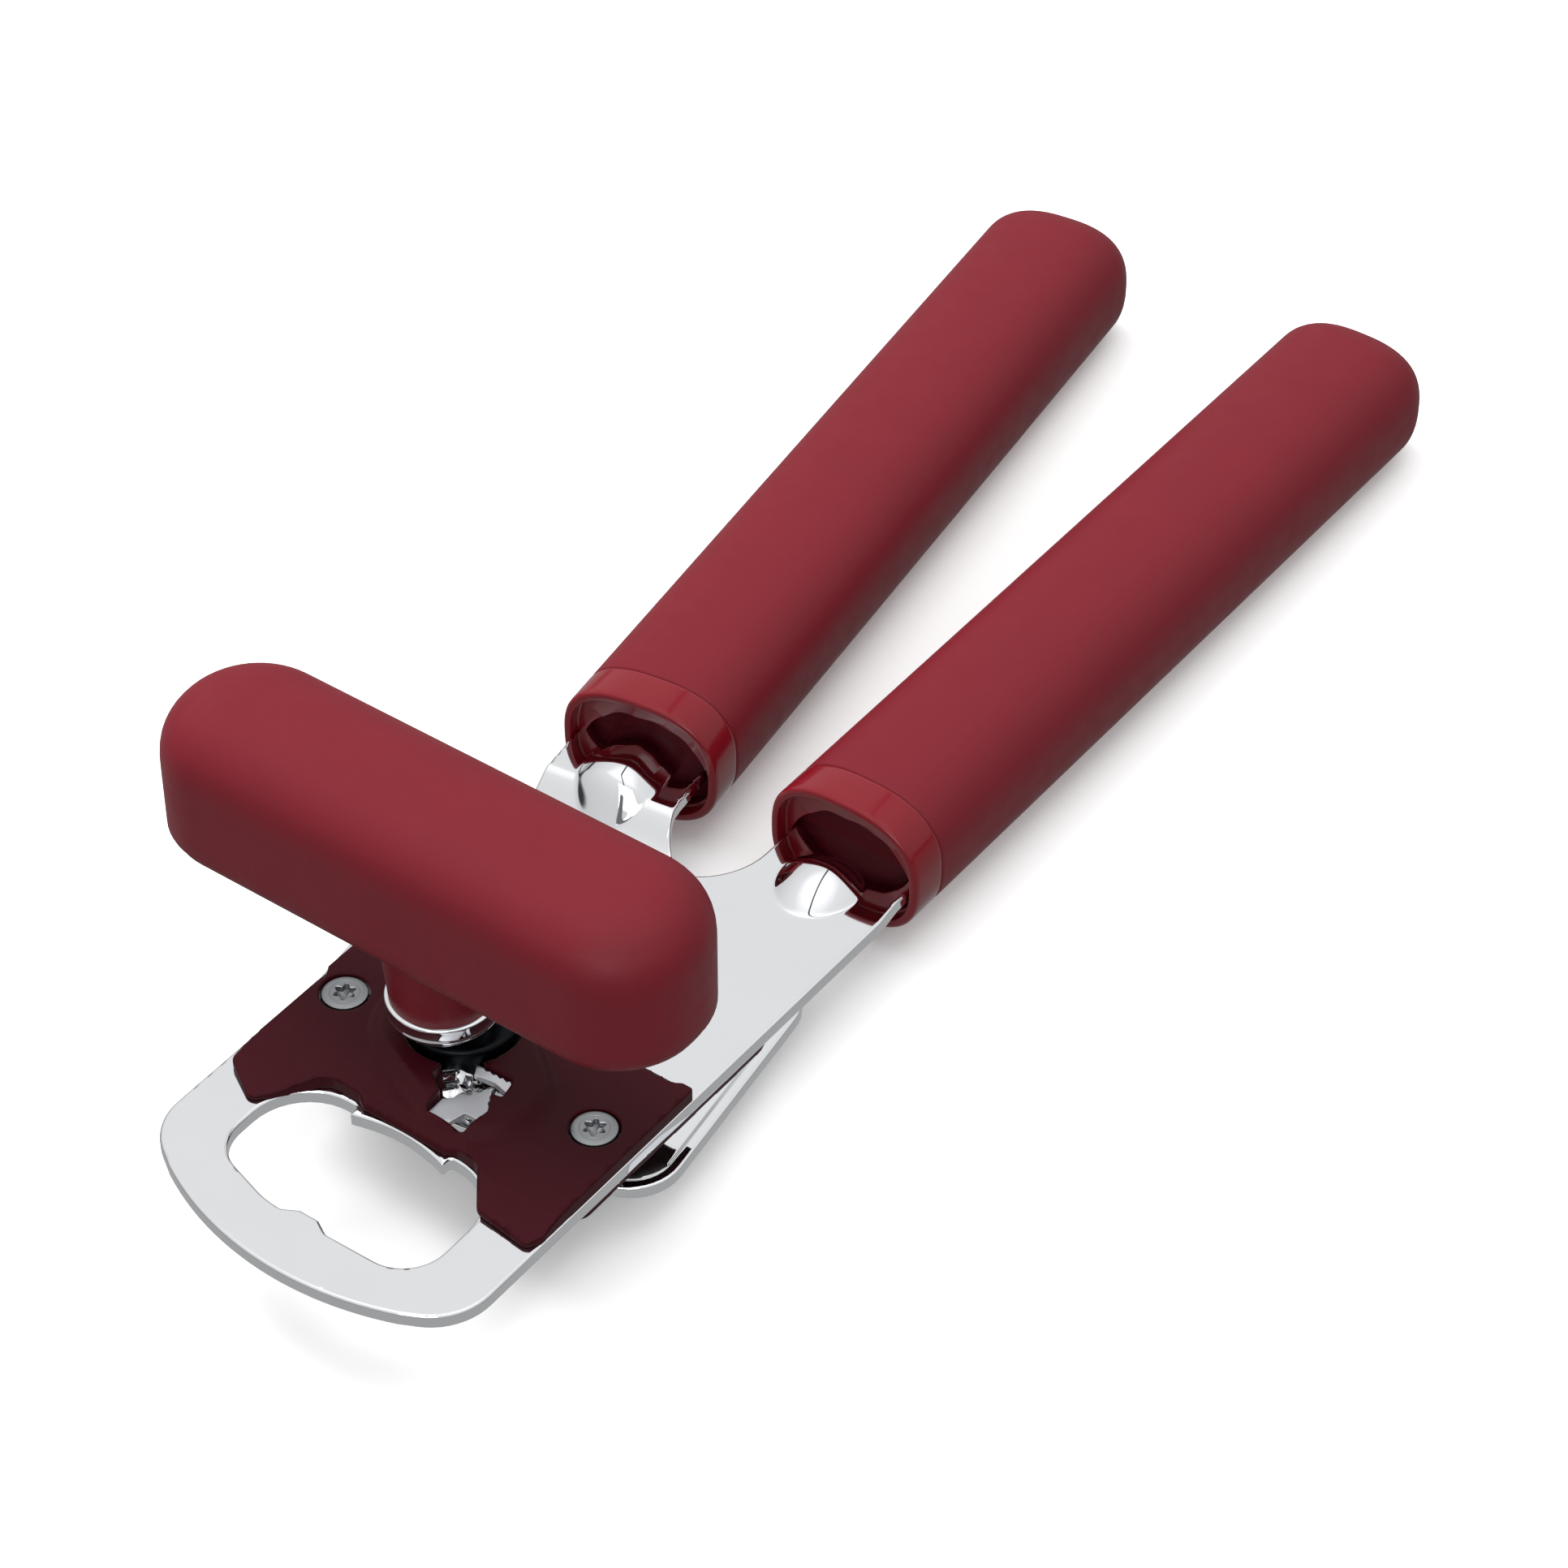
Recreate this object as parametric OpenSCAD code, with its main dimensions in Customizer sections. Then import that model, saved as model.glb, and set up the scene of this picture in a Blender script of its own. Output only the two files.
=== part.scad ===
// Manual can opener with a bottle opener in its head.
// Origin: the crank axis, at the lowest face of the crank shaft.
// +Y runs from the head to the handle tips, +X to the right handle, +Z up to the knob.

/* [Head] */
// Width of the head plate
head_w = 47.3; // [40:0.1:57]
// Reach of the head plate in front of the crank axis
head_front = 38.1; // [37:0.1:44]
// Distance of the head's middle line to the right of the crank axis
head_cx = 4.75; // [4:0.05:6]
// Distance from the crank axis back to the rear edge of the head plate
head_rear = 37; // [32:0.5:39]
// Radius of the head's curved front
front_r = 41.6; // [36:0.1:60]
// Thickness of the head plate
plate_t = 2; // [1.6:0.1:2.6]
// Rounding of the plate's front corners
plate_corner_r = 8; // [4:0.5:9]

/* [Bottle opener mouth] */
// Width of the mouth
mouth_w = 31.1; // [26:0.1:33]
// Depth of the mouth from its rear edge to its front edge
mouth_d = 17.1; // [13:0.1:18]
// Distance from the crank axis to the mouth's rear edge
mouth_rear = 13.7; // [13.5:0.1:15]
// Rounding of the mouth's rear corners
mouth_rear_r = 7.5; // [4:0.5:8]
// Rounding of the mouth's front corners
mouth_front_r = 5.5; // [3:0.5:6]
// Width of the cap-lifting lip
lip_w = 13.8; // [11:0.1:16]
// How far the tips of the lip stand into the mouth
lip_reach = 1.4; // [1:0.1:2]
// Width of the tooth on the mouth's front edge
tooth_w = 6.6; // [5:0.1:8]
// Height of that tooth
tooth_h = 1.2; // [0.8:0.1:1.6]

/* [Head cover] */
// Thickness of the flat deck of the cover
cover_t = 2; // [1.6:0.1:2.6]
// Thickness left along the cover's front edges
cover_edge_t = 0.6; // [0.4:0.1:1]
// Distance from the crank axis back to the cover's rear edge
cover_rear = 9.7; // [9:0.1:12]
// Distance from the crank axis to the front of the cover's wings
wing_front = 19.6; // [18.5:0.1:21]
// Distance from the crank axis to the crease where the deck starts to fall
crease_y = 14.6; // [14:0.1:16]
// Gap between the cover's left edge and the plate's edge
cover_inset = 1.4; // [1:0.1:2]
// Height of the raised boss above the deck
boss_h = 1.1; // [0.6:0.1:1.6]
// Radius of the raised boss round the crank
boss_r = 10; // [9:0.1:10.8]
// Thickness of the glide pad under the head plate
pad_t = 1.9; // [1.4:0.1:2.4]

/* [Screws] */
// Diameter of the screw heads
screw_head_d = 5.6; // [5:0.1:6]
// Diameter of the screw shanks
screw_d = 3; // [2.5:0.1:3.6]
// Height of the screw heads
screw_head_h = 1; // [0.8:0.1:1.2]
// Distance of the screws from the edges of the head plate
screw_inset = 5.3; // [5:0.1:5.6]
// Distance of the screws in front of the crank axis
screw_y = 1.8; // [1:0.1:3]

/* [Handles] */
// Length of each handle from its collar to its tip
handle_len = 121.7; // [100:0.1:147]
// Width of each handle
handle_w = 21.6; // [21:0.1:26]
// Thickness of each handle
handle_t = 17.7; // [15:0.1:21.4]
// Rounding of the handle tips
tip_r = 7; // [5:0.5:7]
// Distance from the crank axis back to the right handle's collar
collar_y = 52.2; // [50:0.1:60]
// How much further back the left handle starts
left_step = 1.4; // [0:0.1:3]
// Width of the glossy collar band
band_w = 5.5; // [4:0.1:8]
// Wall round the collar's recess
collar_wall = 1.1; // [0.9:0.1:1.2]
// Depth of the collar's recess
recess_d = 9; // [6:0.5:12]
// Wall of the soft grip over its core
grip_wall = 1.8; // [1.2:0.1:2.4]
// Length of the core inside the grip
spigot_len = 62; // [50:1:75]
// Gap between the handles when they are closed
handle_gap = 2.3; // [1.5:0.1:4]
// Angle between the handles as the opener lies at rest
open_angle = 7.8; // [5:0.1:12]

/* [Tangs] */
// Width of each tang where it enters its handle
tang_w = 17.8; // [16:0.1:17.8]
// Length of each tang inside its handle
tang_len = 46; // [30:1:48]
// Sideways offset of the tangs from the handle axes
tang_offset = 0.6; // [0:0.1:0.6]
// Width of the narrower tail of each tang, held inside the core
tail_w = 13; // [10:0.1:14]
// Depth of the tangs below the handle axes
tang_drop = 1.2; // [1:0.1:1.6]
// Half width of the stiffening dome on each tang
dome_r = 5.2; // [4:0.1:6]
// Height of that dome above the tang
dome_h = 2.6; // [1.5:0.1:3]

/* [Lower lever] */
// Thickness of the lower lever plate
lever_t = 1.8; // [1.5:0.1:2.2]
// How far the lower lever stands out beside the head plate
lever_margin = 2.65; // [1:0.05:3.5]
// Distance from the crank axis to the lower lever's front edge
lever_front = 7; // [5:0.1:8]

/* [Pivot] */
// Diameter of the eccentric pivot bush where the lower lever turns on it
pivot_d = 12.8; // [12.4:0.1:15.4]
// How far the bush's head stands out beyond its turned part
bush_rim = 0.6; // [0.4:0.1:1]
// Height of the bush's head
bush_head_h = 4.6; // [3.6:0.1:5]
// Offset of the bush's centre from the crank axis, to the right
ecc_x = 1.2; // [0.8:0.1:1.4]
// Offset of the bush's centre from the crank axis, towards the handles
ecc_y = 2; // [1.5:0.1:2.2]
// How far the retaining washer stands out beyond the bush's end
keeper_rim = 3; // [2:0.1:4]
// Thickness of that washer
keeper_t = 0.5; // [0.4:0.1:0.8]

/* [Crank] */
// Diameter of the crank shaft
shaft_d = 5.6; // [4.6:0.1:6.8]
// Diameter of the shaft's threaded end
thread_d = 4.6; // [3.8:0.1:4.6]
// Length of the knob
knob_l = 72.6; // [60:0.1:88]
// Width of the knob
knob_w = 21.4; // [18:0.1:26]
// Height of the knob
knob_h = 19; // [16:0.1:23]
// Height of the knob's underside above the head plate
knob_lift = 20.5; // [18:0.1:25]
// Rounding of the knob's upper edges
knob_edge_r = 7; // [4:0.5:8]
// Rounding of the knob's corners in plan
knob_corner_r = 8.5; // [7:0.5:9]
// Height of the knob's lower shell
knob_base_h = 1.6; // [1:0.1:3]
// Diameter of the knob's stem at its foot
stem_d = 12.2; // [11:0.1:14]
// Wall of the chrome ferrule round the stem
ferrule_wall = 0.6; // [0.4:0.1:1]
// Height of the chrome ferrule
ferrule_h = 3.4; // [2.5:0.1:4]

/* [Wheels] */
// Diameter of the feed wheel over its teeth
feed_d = 15.6; // [14:0.1:15.8]
// Thickness of the feed wheel
feed_t = 2.8; // [2:0.1:3.4]
// Number of teeth on the feed wheel
feed_teeth = 24; // [18:1:30]
// Diameter of the cutting wheel
cutter_d = 16; // [14:0.1:16.4]
// Thickness of the cutting wheel
cutter_t = 2; // [1.6:0.1:2]
// Diameter of the stud that the cutting wheel turns on
stud_d = 5; // [4.2:0.1:6]
// Distance of the cutting wheel's axis to the right of the crank axis
cutter_x = 15.3; // [15.2:0.1:16]
// Distance of the cutting wheel's axis towards the handles
cutter_y = 1.5; // [0.5:0.1:2.5]
// Width across flats of the nut on the shaft
nut_af = 8; // [7:0.1:9]

/* [Clearances] */
// Radial clearance of pieces that turn on each other
run_fit = 0.05; // [0.02:0.01:0.1]
// Clearance between flat faces that slide on each other
slide_gap = 0.1; // [0.05:0.05:0.2]
// Clearance round pieces that pass through a plate
pass_gap = 0.2; // [0.1:0.05:0.3]

/* [Hidden] */
$fn = 64;

chrome = "gainsboro";
plastic = "#5a1c28";
soft_red = "#8c2a38";
gloss_red = "#a01c28";
steel = "silver";
black_oxide = "#25282c";
cut = 0.5;
arc_steps = 6;
oval_power = 2.6;
oval_steps = 44;

// Heights from the shaft's end upwards
nut_z = 0.6;
nut_h = 2.8;
feed_z = nut_z + nut_h;
thrust_t = 0.3;
thrust_z = feed_z + feed_t;
bush_z = thrust_z + thrust_t + slide_gap;
lever_z = bush_z + keeper_t + slide_gap;
pad_z = lever_z + lever_t + slide_gap;
plate_z = pad_z + pad_t;
deck_z = plate_z + plate_t;
cover_top = deck_z + cover_t;
head_top = deck_z + bush_head_h;
wave_t = 0.4;
ferrule_z = head_top + wave_t + 2 * slide_gap;
ferrule_floor = 1.4;
ferrule_d = stem_d + 2 * ferrule_wall;
ferrule_top = ferrule_z + ferrule_h;
stem_z = ferrule_z + ferrule_floor;
stem_flare = 2.4;
stem_sink = 0.4;
knob_z = deck_z + knob_lift;
plug_h = 4;
knob_wall = 4;
shaft_top = knob_z + knob_base_h + plug_h - 1;

// Plan positions
head_left = head_cx - head_w / 2;
head_right = head_cx + head_w / 2;
front_shift = 1.85;
front_cx = head_cx + front_shift;
front_cy = front_r - head_front;
handle_overhang = 0.8;
handle_x = head_right - handle_w / 2 + handle_overhang;
handle_z = plate_z + plate_t / 2 + tang_drop;
left_x = handle_x - handle_w - handle_gap;
tang_x = handle_x + tang_offset;
left_tang_x = left_x - tang_offset;
left_collar_y = collar_y + left_step;
left_tang_z = handle_z - tang_drop - lever_t / 2;
ecc = [ecc_x, ecc_y];
cutter_at = [cutter_x, cutter_y];
mouth_left = head_cx - mouth_w / 2;
mouth_right = head_cx + mouth_w / 2;
mouth_front = mouth_rear + mouth_d;
lip_inset = 8.9;
lip_left = mouth_left + lip_inset;
lip_right = lip_left + lip_w;
screw_xs = [head_left + screw_inset, head_right - screw_inset];
dome_reach = 11;
// The right dome closes this far in front of the collar
dome_setback = 0.4;
dome_front = collar_y - dome_reach;
joggle_reach = 11.1;
joggle_y = left_collar_y - joggle_reach;
joggle_run = 5.5;
joggle_lean = 0.6;
left_dome_y = joggle_y + joggle_run - 1;
shoulder_y = 3;
inner_wall = grip_wall + collar_wall;
bush_head_d = pivot_d + 2 * bush_rim;
bush_step = 0.4;
bush_end_d = pivot_d - 2 * bush_step;
keeper_d = bush_end_d + 2 * keeper_rim;
spacer_gap = 0.6;
spacer_d = 2 * (norm(cutter_at - ecc) - keeper_d / 2 - spacer_gap);

function unit(v) = v / norm(v);

// One corner of an outline, rounded by the radius that it carries
function corner(a, b, c) =
    let (
        p = [b[0], b[1]],
        u = unit([a[0], a[1]] - p),
        w = unit([c[0], c[1]] - p),
        r = b[2]
    )
    r == 0 ? [p] :
    let (
        half = acos(u * w) / 2,
        middle = p + unit(u + w) * r / sin(half),
        s = p + u * r / tan(half) - middle,
        e = p + w * r / tan(half) - middle,
        start = atan2(s[1], s[0]),
        turn = atan2(s[0] * e[1] - s[1] * e[0], s * e)
    )
    [for (i = [0:arc_steps])
        let (a = start + turn * i / arc_steps)
        middle + r * [cos(a), sin(a)]];

// A closed outline from corners written as [x, y, radius]
function outline(v) =
    let (n = len(v))
    [for (i = [0:n - 1]) each corner(v[(i + n - 1) % n], v[i], v[(i + 1) % n])];

// The points of an arc that belong to an outline
function arc(centre, r, from, to, steps) =
    [for (i = [0:steps])
        let (a = from + (to - from) * i / steps)
        [centre[0] + r * cos(a), centre[1] + r * sin(a), 0]];

function signed_power(v, p) = sign(v) * pow(abs(v), p);

// The squarish oval that the handles have in section
function oval(a, b) =
    [for (i = [0:oval_steps - 1])
        let (t = 360 * i / oval_steps)
        [a * signed_power(cos(t), 2 / oval_power), b * signed_power(sin(t), 2 / oval_power)]];

function round_box(l, w, r) =
    outline([[l / 2, w / 2, r], [-l / 2, w / 2, r], [-l / 2, -w / 2, r], [l / 2, -w / 2, r]]);

// How far a surface is drawn in at depth s below the face that its edge radius r meets
function draw_in(r, s) = s >= r ? 0 : r - sqrt(r * r - (r - s) * (r - s));

function at_height(points, z) = [for (p = points) [p[0], p[1], z]];

module loft(rings) {
    n = len(rings[0]);
    last = (len(rings) - 1) * n;
    polyhedron(
        points = [for (ring = rings) each ring],
        faces = concat(
            [[for (i = [0:n - 1]) i]],
            [for (k = [0:len(rings) - 2], i = [0:n - 1])
                [k * n + i, (k + 1) * n + i, (k + 1) * n + (i + 1) % n, k * n + (i + 1) % n]],
            [[for (i = [n - 1:-1:0]) last + i]]
        )
    );
}

module slab(v, z, h) {
    translate([0, 0, z]) linear_extrude(h) polygon(outline(v));
}

module rod(d, z, h, at = [0, 0]) {
    translate([at[0], at[1], z]) cylinder(d = d, h = h);
}

module ring(outer, inner, z, h, at = [0, 0]) {
    difference() {
        rod(outer, z, h, at);
        rod(inner, z - cut, h + 2 * cut, at);
    }
}

// Turns the lower lever's pieces from the closed position to the rest position
module opened() {
    translate([ecc_x, ecc_y, 0]) rotate(open_angle) translate([-ecc_x, -ecc_y, 0]) children();
}

// Places a handle piece drawn along +Z so that it runs back from its collar
module along_handle(x, y) {
    translate([x, y, handle_z]) rotate([-90, 0, 0]) children();
}

// ---------- Head ----------

head_side_a = asin((front_cx - head_left) / front_r);
head_side_b = asin((head_right - front_cx) / front_r);
head_outline = concat(
    [[head_left, front_cy - front_r * cos(head_side_a), plate_corner_r]],
    arc([front_cx, front_cy], front_r, 280 - head_side_a, 260 + head_side_b, 10),
    [
        [head_right, front_cy - front_r * cos(head_side_b), plate_corner_r],
        [head_right, collar_y - 6, 0],
        [tang_x + tang_w / 2, collar_y - 2, 0],
        [tang_x + tang_w / 2, collar_y + shoulder_y, 0],
        [handle_x + tail_w / 2, collar_y + shoulder_y, 0],
        [handle_x + tail_w / 2, collar_y + tang_len, 2],
        [handle_x - tail_w / 2, collar_y + tang_len, 2],
        [handle_x - tail_w / 2, collar_y + shoulder_y, 0],
        [tang_x - tang_w / 2, collar_y + shoulder_y, 0],
        [tang_x - tang_w / 2, head_rear + 3, 10],
        [head_left + 12, head_rear - 1, 10],
        [head_left, head_rear - 16, 14]
    ]
);

mouth_outline = [
    [mouth_left, -mouth_rear, mouth_rear_r],
    [mouth_left, -mouth_front + 3.2, mouth_front_r],
    [head_cx - 3, -mouth_front, 12],
    [mouth_right, -mouth_front + 0.3, mouth_front_r],
    [mouth_right, -mouth_rear, mouth_rear_r]
];

// The cap lip: two low tips with a shallow curve between them
lip_outline = concat(
    [[lip_left, -mouth_rear + cut, 0], [lip_left, -mouth_rear - lip_reach, 0]],
    [for (i = [1:7])
        [lip_left + lip_w * i / 8, -mouth_rear - lip_reach + (lip_reach - 0.3) * sin(180 * i / 8), 0]],
    [[lip_right, -mouth_rear - lip_reach, 0], [lip_right, -mouth_rear + cut, 0]]
);

tooth_outline = [
    [head_cx - tooth_w / 2, -mouth_front - cut, 0],
    [head_cx - tooth_w / 5, -mouth_front + tooth_h, 0.8],
    [head_cx + tooth_w / 5, -mouth_front + tooth_h, 0.8],
    [head_cx + tooth_w / 2, -mouth_front - cut, 0]
];

window_outline = [
    [6.2, -11.2, 0.5], [3.6, -6.8, 0], [3.3, -3.4, 1.2], [6, -1.9, 0], [11.8, -2.4, 1.2],
    [12.4, -5, 0.3], [11, -5.2, 0.3], [12.4, -7.4, 0.5], [12, -11.6, 0.5]
];

// The tab lanced down from the window's left edge, which guides the can's rim
guide_outline = [[3.2, -5.4, 0], [3.4, -7.4, 0], [4.8, -9.8, 0], [6.2, -8.6, 0.4], [4.8, -5.4, 0.5]];

guide_drop = pad_t - 0.2;
guide_sink = 1.2;

pad_inset = 0.8;
pad_setback = 3.2;

// The glide pad's notch clears the window and the tab
pad_notch = [[2.2, -3.6, 0], [2.2, -8, 1], [5, -14, 0], [14, -14, 0], [13.4, -1.4, 1.5], [6, -1, 0.5]];

module mouth_cut(z, h) {
    difference() {
        slab(mouth_outline, z - cut, h + 2 * cut);
        slab(lip_outline, z - 2 * cut, h + 4 * cut);
        slab(tooth_outline, z - 2 * cut, h + 4 * cut);
    }
}

module window_cut(z, h) {
    slab(window_outline, z - cut, h + 2 * cut);
}

module screw_holes(d, z, h) {
    for (x = screw_xs) rod(d, z - cut, h + 2 * cut, [x, -screw_y]);
}

// The stiffening dome pressed into a tang, from its nose to inside the collar
module tang_dome(x, y_nose, y_end, z) {
    translate([x, 0, z]) hull() {
        translate([0, y_nose + dome_r, 0]) scale([1, 1, dome_h / dome_r]) sphere(r = dome_r, $fn = 32);
        translate([0, y_end - dome_r, 0]) scale([1, 1, dome_h / dome_r]) sphere(r = dome_r, $fn = 32);
    }
}

module upper_plate() {
    color(chrome) {
        difference() {
            slab(head_outline, plate_z, plate_t);
            mouth_cut(plate_z, plate_t);
            window_cut(plate_z, plate_t);
            screw_holes(screw_d + 2 * pass_gap, plate_z, plate_t);
            rod(pivot_d, plate_z - cut, plate_t + 2 * cut, ecc);
        }
        slab(guide_outline, plate_z - guide_drop, guide_drop + guide_sink);
        intersection() {
            tang_dome(tang_x, dome_front, collar_y - dome_setback, deck_z);
            translate([tang_x - dome_r * 2, 0, deck_z]) cube([dome_r * 4, collar_y * 2, dome_h * 2]);
        }
    }
}

cover_outline = concat(
    [
        [head_right, cover_rear, 0.6],
        [head_left + cover_inset, cover_rear, 0.6],
        [head_left + cover_inset, -wing_front + 2.4, 1],
        [head_left + 6.6, -wing_front - 0.8, 1.2],
        [mouth_left + 0.8, -mouth_rear - 4.6, 2.5],
        [mouth_left + 4.6, -mouth_rear + 0.5, 1.6],
        [lip_left + 0.2, -mouth_rear + 0.3, 0.5],
        [lip_left + 1.6, -mouth_rear - 0.1, 0.5],
        [lip_right - 0.4, -mouth_rear - 0.1, 0.5],
        [lip_right + 0.8, -mouth_rear + 0.5, 0.5],
        [mouth_right - 4.4, -mouth_rear - 0.2, 2],
        [mouth_right - 0.9, -mouth_rear - 5, 1.5],
        [head_right - 1.2, -wing_front, 1],
        [head_right, -wing_front + 2, 0.8]
    ]
);

boss_draft = 1.6;
window_boss_r = 7.8;
window_boss_draft = 1.4;
window_boss_at = [head_cx + 4.6, -5.2];

module cover_boss(r, draft, at) {
    translate([at[0], at[1], cover_top - cut]) cylinder(r1 = r, r2 = r - draft, h = boss_h + cut);
}

module head_cover() {
    fall = crease_y - wing_front - 0.8;
    color(plastic) difference() {
        union() {
            slab(cover_outline, deck_z, cover_t);
            hull() {
                cover_boss(boss_r, boss_draft, [0, ecc_y / 2]);
                cover_boss(window_boss_r, window_boss_draft, window_boss_at);
            }
        }
        translate([0, -crease_y, cover_top])
            rotate([atan2(cover_t - cover_edge_t, -fall), 0, 0])
            translate([-2 * head_w, -head_w, 0])
            cube([4 * head_w, head_w, 2 * cover_t]);
        window_cut(deck_z, cover_t + boss_h);
        screw_holes(screw_head_d + 2 * pass_gap, cover_top - screw_head_h, boss_h + screw_head_h);
        screw_holes(screw_d + 2 * pass_gap, deck_z, cover_t);
        rod(bush_head_d + 2 * pass_gap, deck_z - cut, cover_t + boss_h + 2 * cut, ecc);
    }
}

// One screw: a low rounded head with a six-lobed recess
screw_chamfer = 0.4;
screw_recess_r = 0.85;
screw_lobe_r = 0.4;
screw_recess_h = 0.7;

module cover_screw() {
    head_z = cover_top - screw_head_h;
    recess_z = cover_top - screw_recess_h;
    difference() {
        union() {
            translate([0, 0, head_z]) cylinder(d = screw_head_d, h = screw_head_h * 0.7);
            translate([0, 0, head_z + screw_head_h * 0.7])
                cylinder(d1 = screw_head_d, d2 = screw_head_d - 2 * screw_chamfer, h = screw_head_h * 0.3);
            rod(screw_d, pad_z + pass_gap, head_z - pad_z - pass_gap);
        }
        for (a = [0:60:300])
            rotate(a)
                translate([screw_recess_r - 0.1, 0, recess_z])
                cylinder(r = screw_lobe_r, h = screw_head_h, $fn = 16);
        rod(2 * screw_recess_r, recess_z, screw_head_h);
    }
}

module cover_screws() {
    color(steel) for (x = screw_xs) translate([x, -screw_y, 0]) cover_screw();
}

module glide_pad() {
    edge = pad_inset;
    front = mouth_rear - pad_setback;
    color(plastic) difference() {
        slab([
            [head_left + edge, -front, 2], [head_right - edge, -front, 2],
            [head_right - edge, head_rear - 8, 5], [head_left + edge, head_rear - 18, 6]
        ], pad_z, pad_t);
        slab(pad_notch, pad_z - cut, pad_t + 2 * cut);
        screw_holes(screw_d, pad_z, pad_t);
        rod(pivot_d + 2 * pass_gap, pad_z - cut, pad_t + 2 * cut, ecc);
    }
}

// ---------- Pivot ----------

module pivot_bush() {
    color(black_oxide) difference() {
        union() {
            rod(bush_head_d, deck_z, bush_head_h, ecc);
            rod(pivot_d, lever_z - slide_gap, deck_z - lever_z + slide_gap, ecc);
            rod(bush_end_d, bush_z, lever_z - bush_z, ecc);
        }
        rod(shaft_d + 2 * run_fit, bush_z - cut, head_top - bush_z + 2 * cut);
    }
}

module bush_keeper() {
    color(steel) ring(keeper_d, bush_end_d, bush_z, keeper_t, ecc);
}

// ---------- Handles ----------

// The glossy core: a collar band with an open recess, and a spigot inside the grip
module handle_core(tang_thick) {
    step_z = band_w - 1.5;
    color(gloss_red) difference() {
        union() {
            linear_extrude(band_w) polygon(oval(handle_w / 2, handle_t / 2));
            translate([0, 0, band_w])
                linear_extrude(spigot_len - band_w)
                polygon(oval(handle_w / 2 - grip_wall, handle_t / 2 - grip_wall));
        }
        translate([0, 0, -cut])
            linear_extrude(step_z + cut)
            polygon(oval(handle_w / 2 - collar_wall, handle_t / 2 - collar_wall));
        linear_extrude(recess_d)
            polygon(oval(handle_w / 2 - inner_wall, handle_t / 2 - inner_wall));
        translate([-tail_w / 2 - pass_gap / 4, tang_drop - tang_thick / 2, recess_d - cut])
            cube([tail_w + pass_gap / 2, tang_thick, tang_len - recess_d + cut + pass_gap]);
    }
}

// The soft grip: a tube over the spigot, closed by a rounded tip
module handle_grip() {
    ring_zs = concat([band_w], [for (i = [0:7]) handle_len - tip_r + tip_r * sin(90 * i / 7)]);
    color(soft_red) difference() {
        loft([for (z = ring_zs)
            let (d = draw_in(tip_r, handle_len - z))
            at_height(oval(handle_w / 2 - d, handle_t / 2 - d), z)]);
        translate([0, 0, band_w - cut])
            linear_extrude(spigot_len - band_w + cut)
            polygon(oval(handle_w / 2 - grip_wall, handle_t / 2 - grip_wall));
    }
}

module right_core() {
    along_handle(handle_x, collar_y) handle_core(plate_t);
}

module right_grip() {
    along_handle(handle_x, collar_y) handle_grip();
}

module left_core() {
    opened() along_handle(left_x, left_collar_y) handle_core(lever_t);
}

module left_grip() {
    opened() along_handle(left_x, left_collar_y) handle_grip();
}

// ---------- Lower lever ----------

lever_left = head_left - lever_margin;
lever_right = head_right + lever_margin;
lever_outline = [
    [lever_left, -1.5, 6],
    [ecc_x - 10, -lever_front, 6],
    [lever_right, -lever_front, 7],
    [lever_right, head_rear - 6, 6],
    [left_tang_x + tang_w / 2 + 6, head_rear + 2, 8],
    [left_tang_x + tang_w / 2, head_rear + 9, 8],
    [left_tang_x + tang_w / 2, left_collar_y + shoulder_y, 0],
    [left_x + tail_w / 2, left_collar_y + shoulder_y, 0],
    [left_x + tail_w / 2, left_collar_y + tang_len, 2],
    [left_x - tail_w / 2, left_collar_y + tang_len, 2],
    [left_x - tail_w / 2, left_collar_y + shoulder_y, 0],
    [left_tang_x - tang_w / 2, left_collar_y + shoulder_y, 0],
    [left_tang_x - tang_w / 2, head_rear + 8, 14],
    [lever_left, head_rear - 8, 14]
];

// The side view of the lower lever: flat under the head, stepped up into the tang
module lever_profile(h) {
    z0 = lever_z;
    z1 = left_tang_z;
    far = left_collar_y + tang_len + cut;
    translate([lever_left - cut, 0, 0])
        rotate([90, 0, 90])
        linear_extrude(lever_right - lever_left + 2 * cut)
        polygon([
            [-lever_front - cut, z0], [joggle_y, z0], [joggle_y + joggle_run, z1], [far, z1],
            [far, z1 + lever_t], [joggle_y + joggle_run - joggle_lean, z1 + lever_t],
            [joggle_y - joggle_lean, z0 + lever_t], [-lever_front - cut, z0 + lever_t]
        ]);
}

// The can's rim passes through this gap in the lower lever, beside the feed wheel
nip_outline = [[8, -lever_front - 2, 0], [17, -lever_front - 2, 0], [16, -2.4, 2], [9, -2.4, 2]];

module lower_plate() {
    color(chrome) {
        difference() {
            opened() intersection() {
                slab(lever_outline, lever_z - cut, left_tang_z + lever_t - lever_z + 2 * cut);
                lever_profile();
            }
            rod(pivot_d + 2 * run_fit, lever_z - cut, lever_t + 2 * cut, ecc);
            rod(stud_d, lever_z - cut, lever_t + 2 * cut, cutter_at);
            slab(nip_outline, lever_z - cut, lever_t + 2 * cut);
        }
        opened() intersection() {
            tang_dome(left_tang_x, left_dome_y, left_collar_y + recess_d - cut, left_tang_z + lever_t);
            translate([left_tang_x - dome_r * 2, 0, left_tang_z + lever_t])
                cube([dome_r * 4, collar_y * 2, dome_h * 2]);
        }
    }
}

// ---------- Wheels ----------

cutter_z = feed_z - slide_gap - cutter_t;
stud_head_h = 0.7;
stud_rim = 1.7;
cutter_hub = 2;
cutter_relief = 0.3;
cutter_bevel = 2.4;
cutter_edge = 0.15;
tooth_depth = 0.8;
washer_rim = 2.2;
wave_rim = 2.4;

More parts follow.
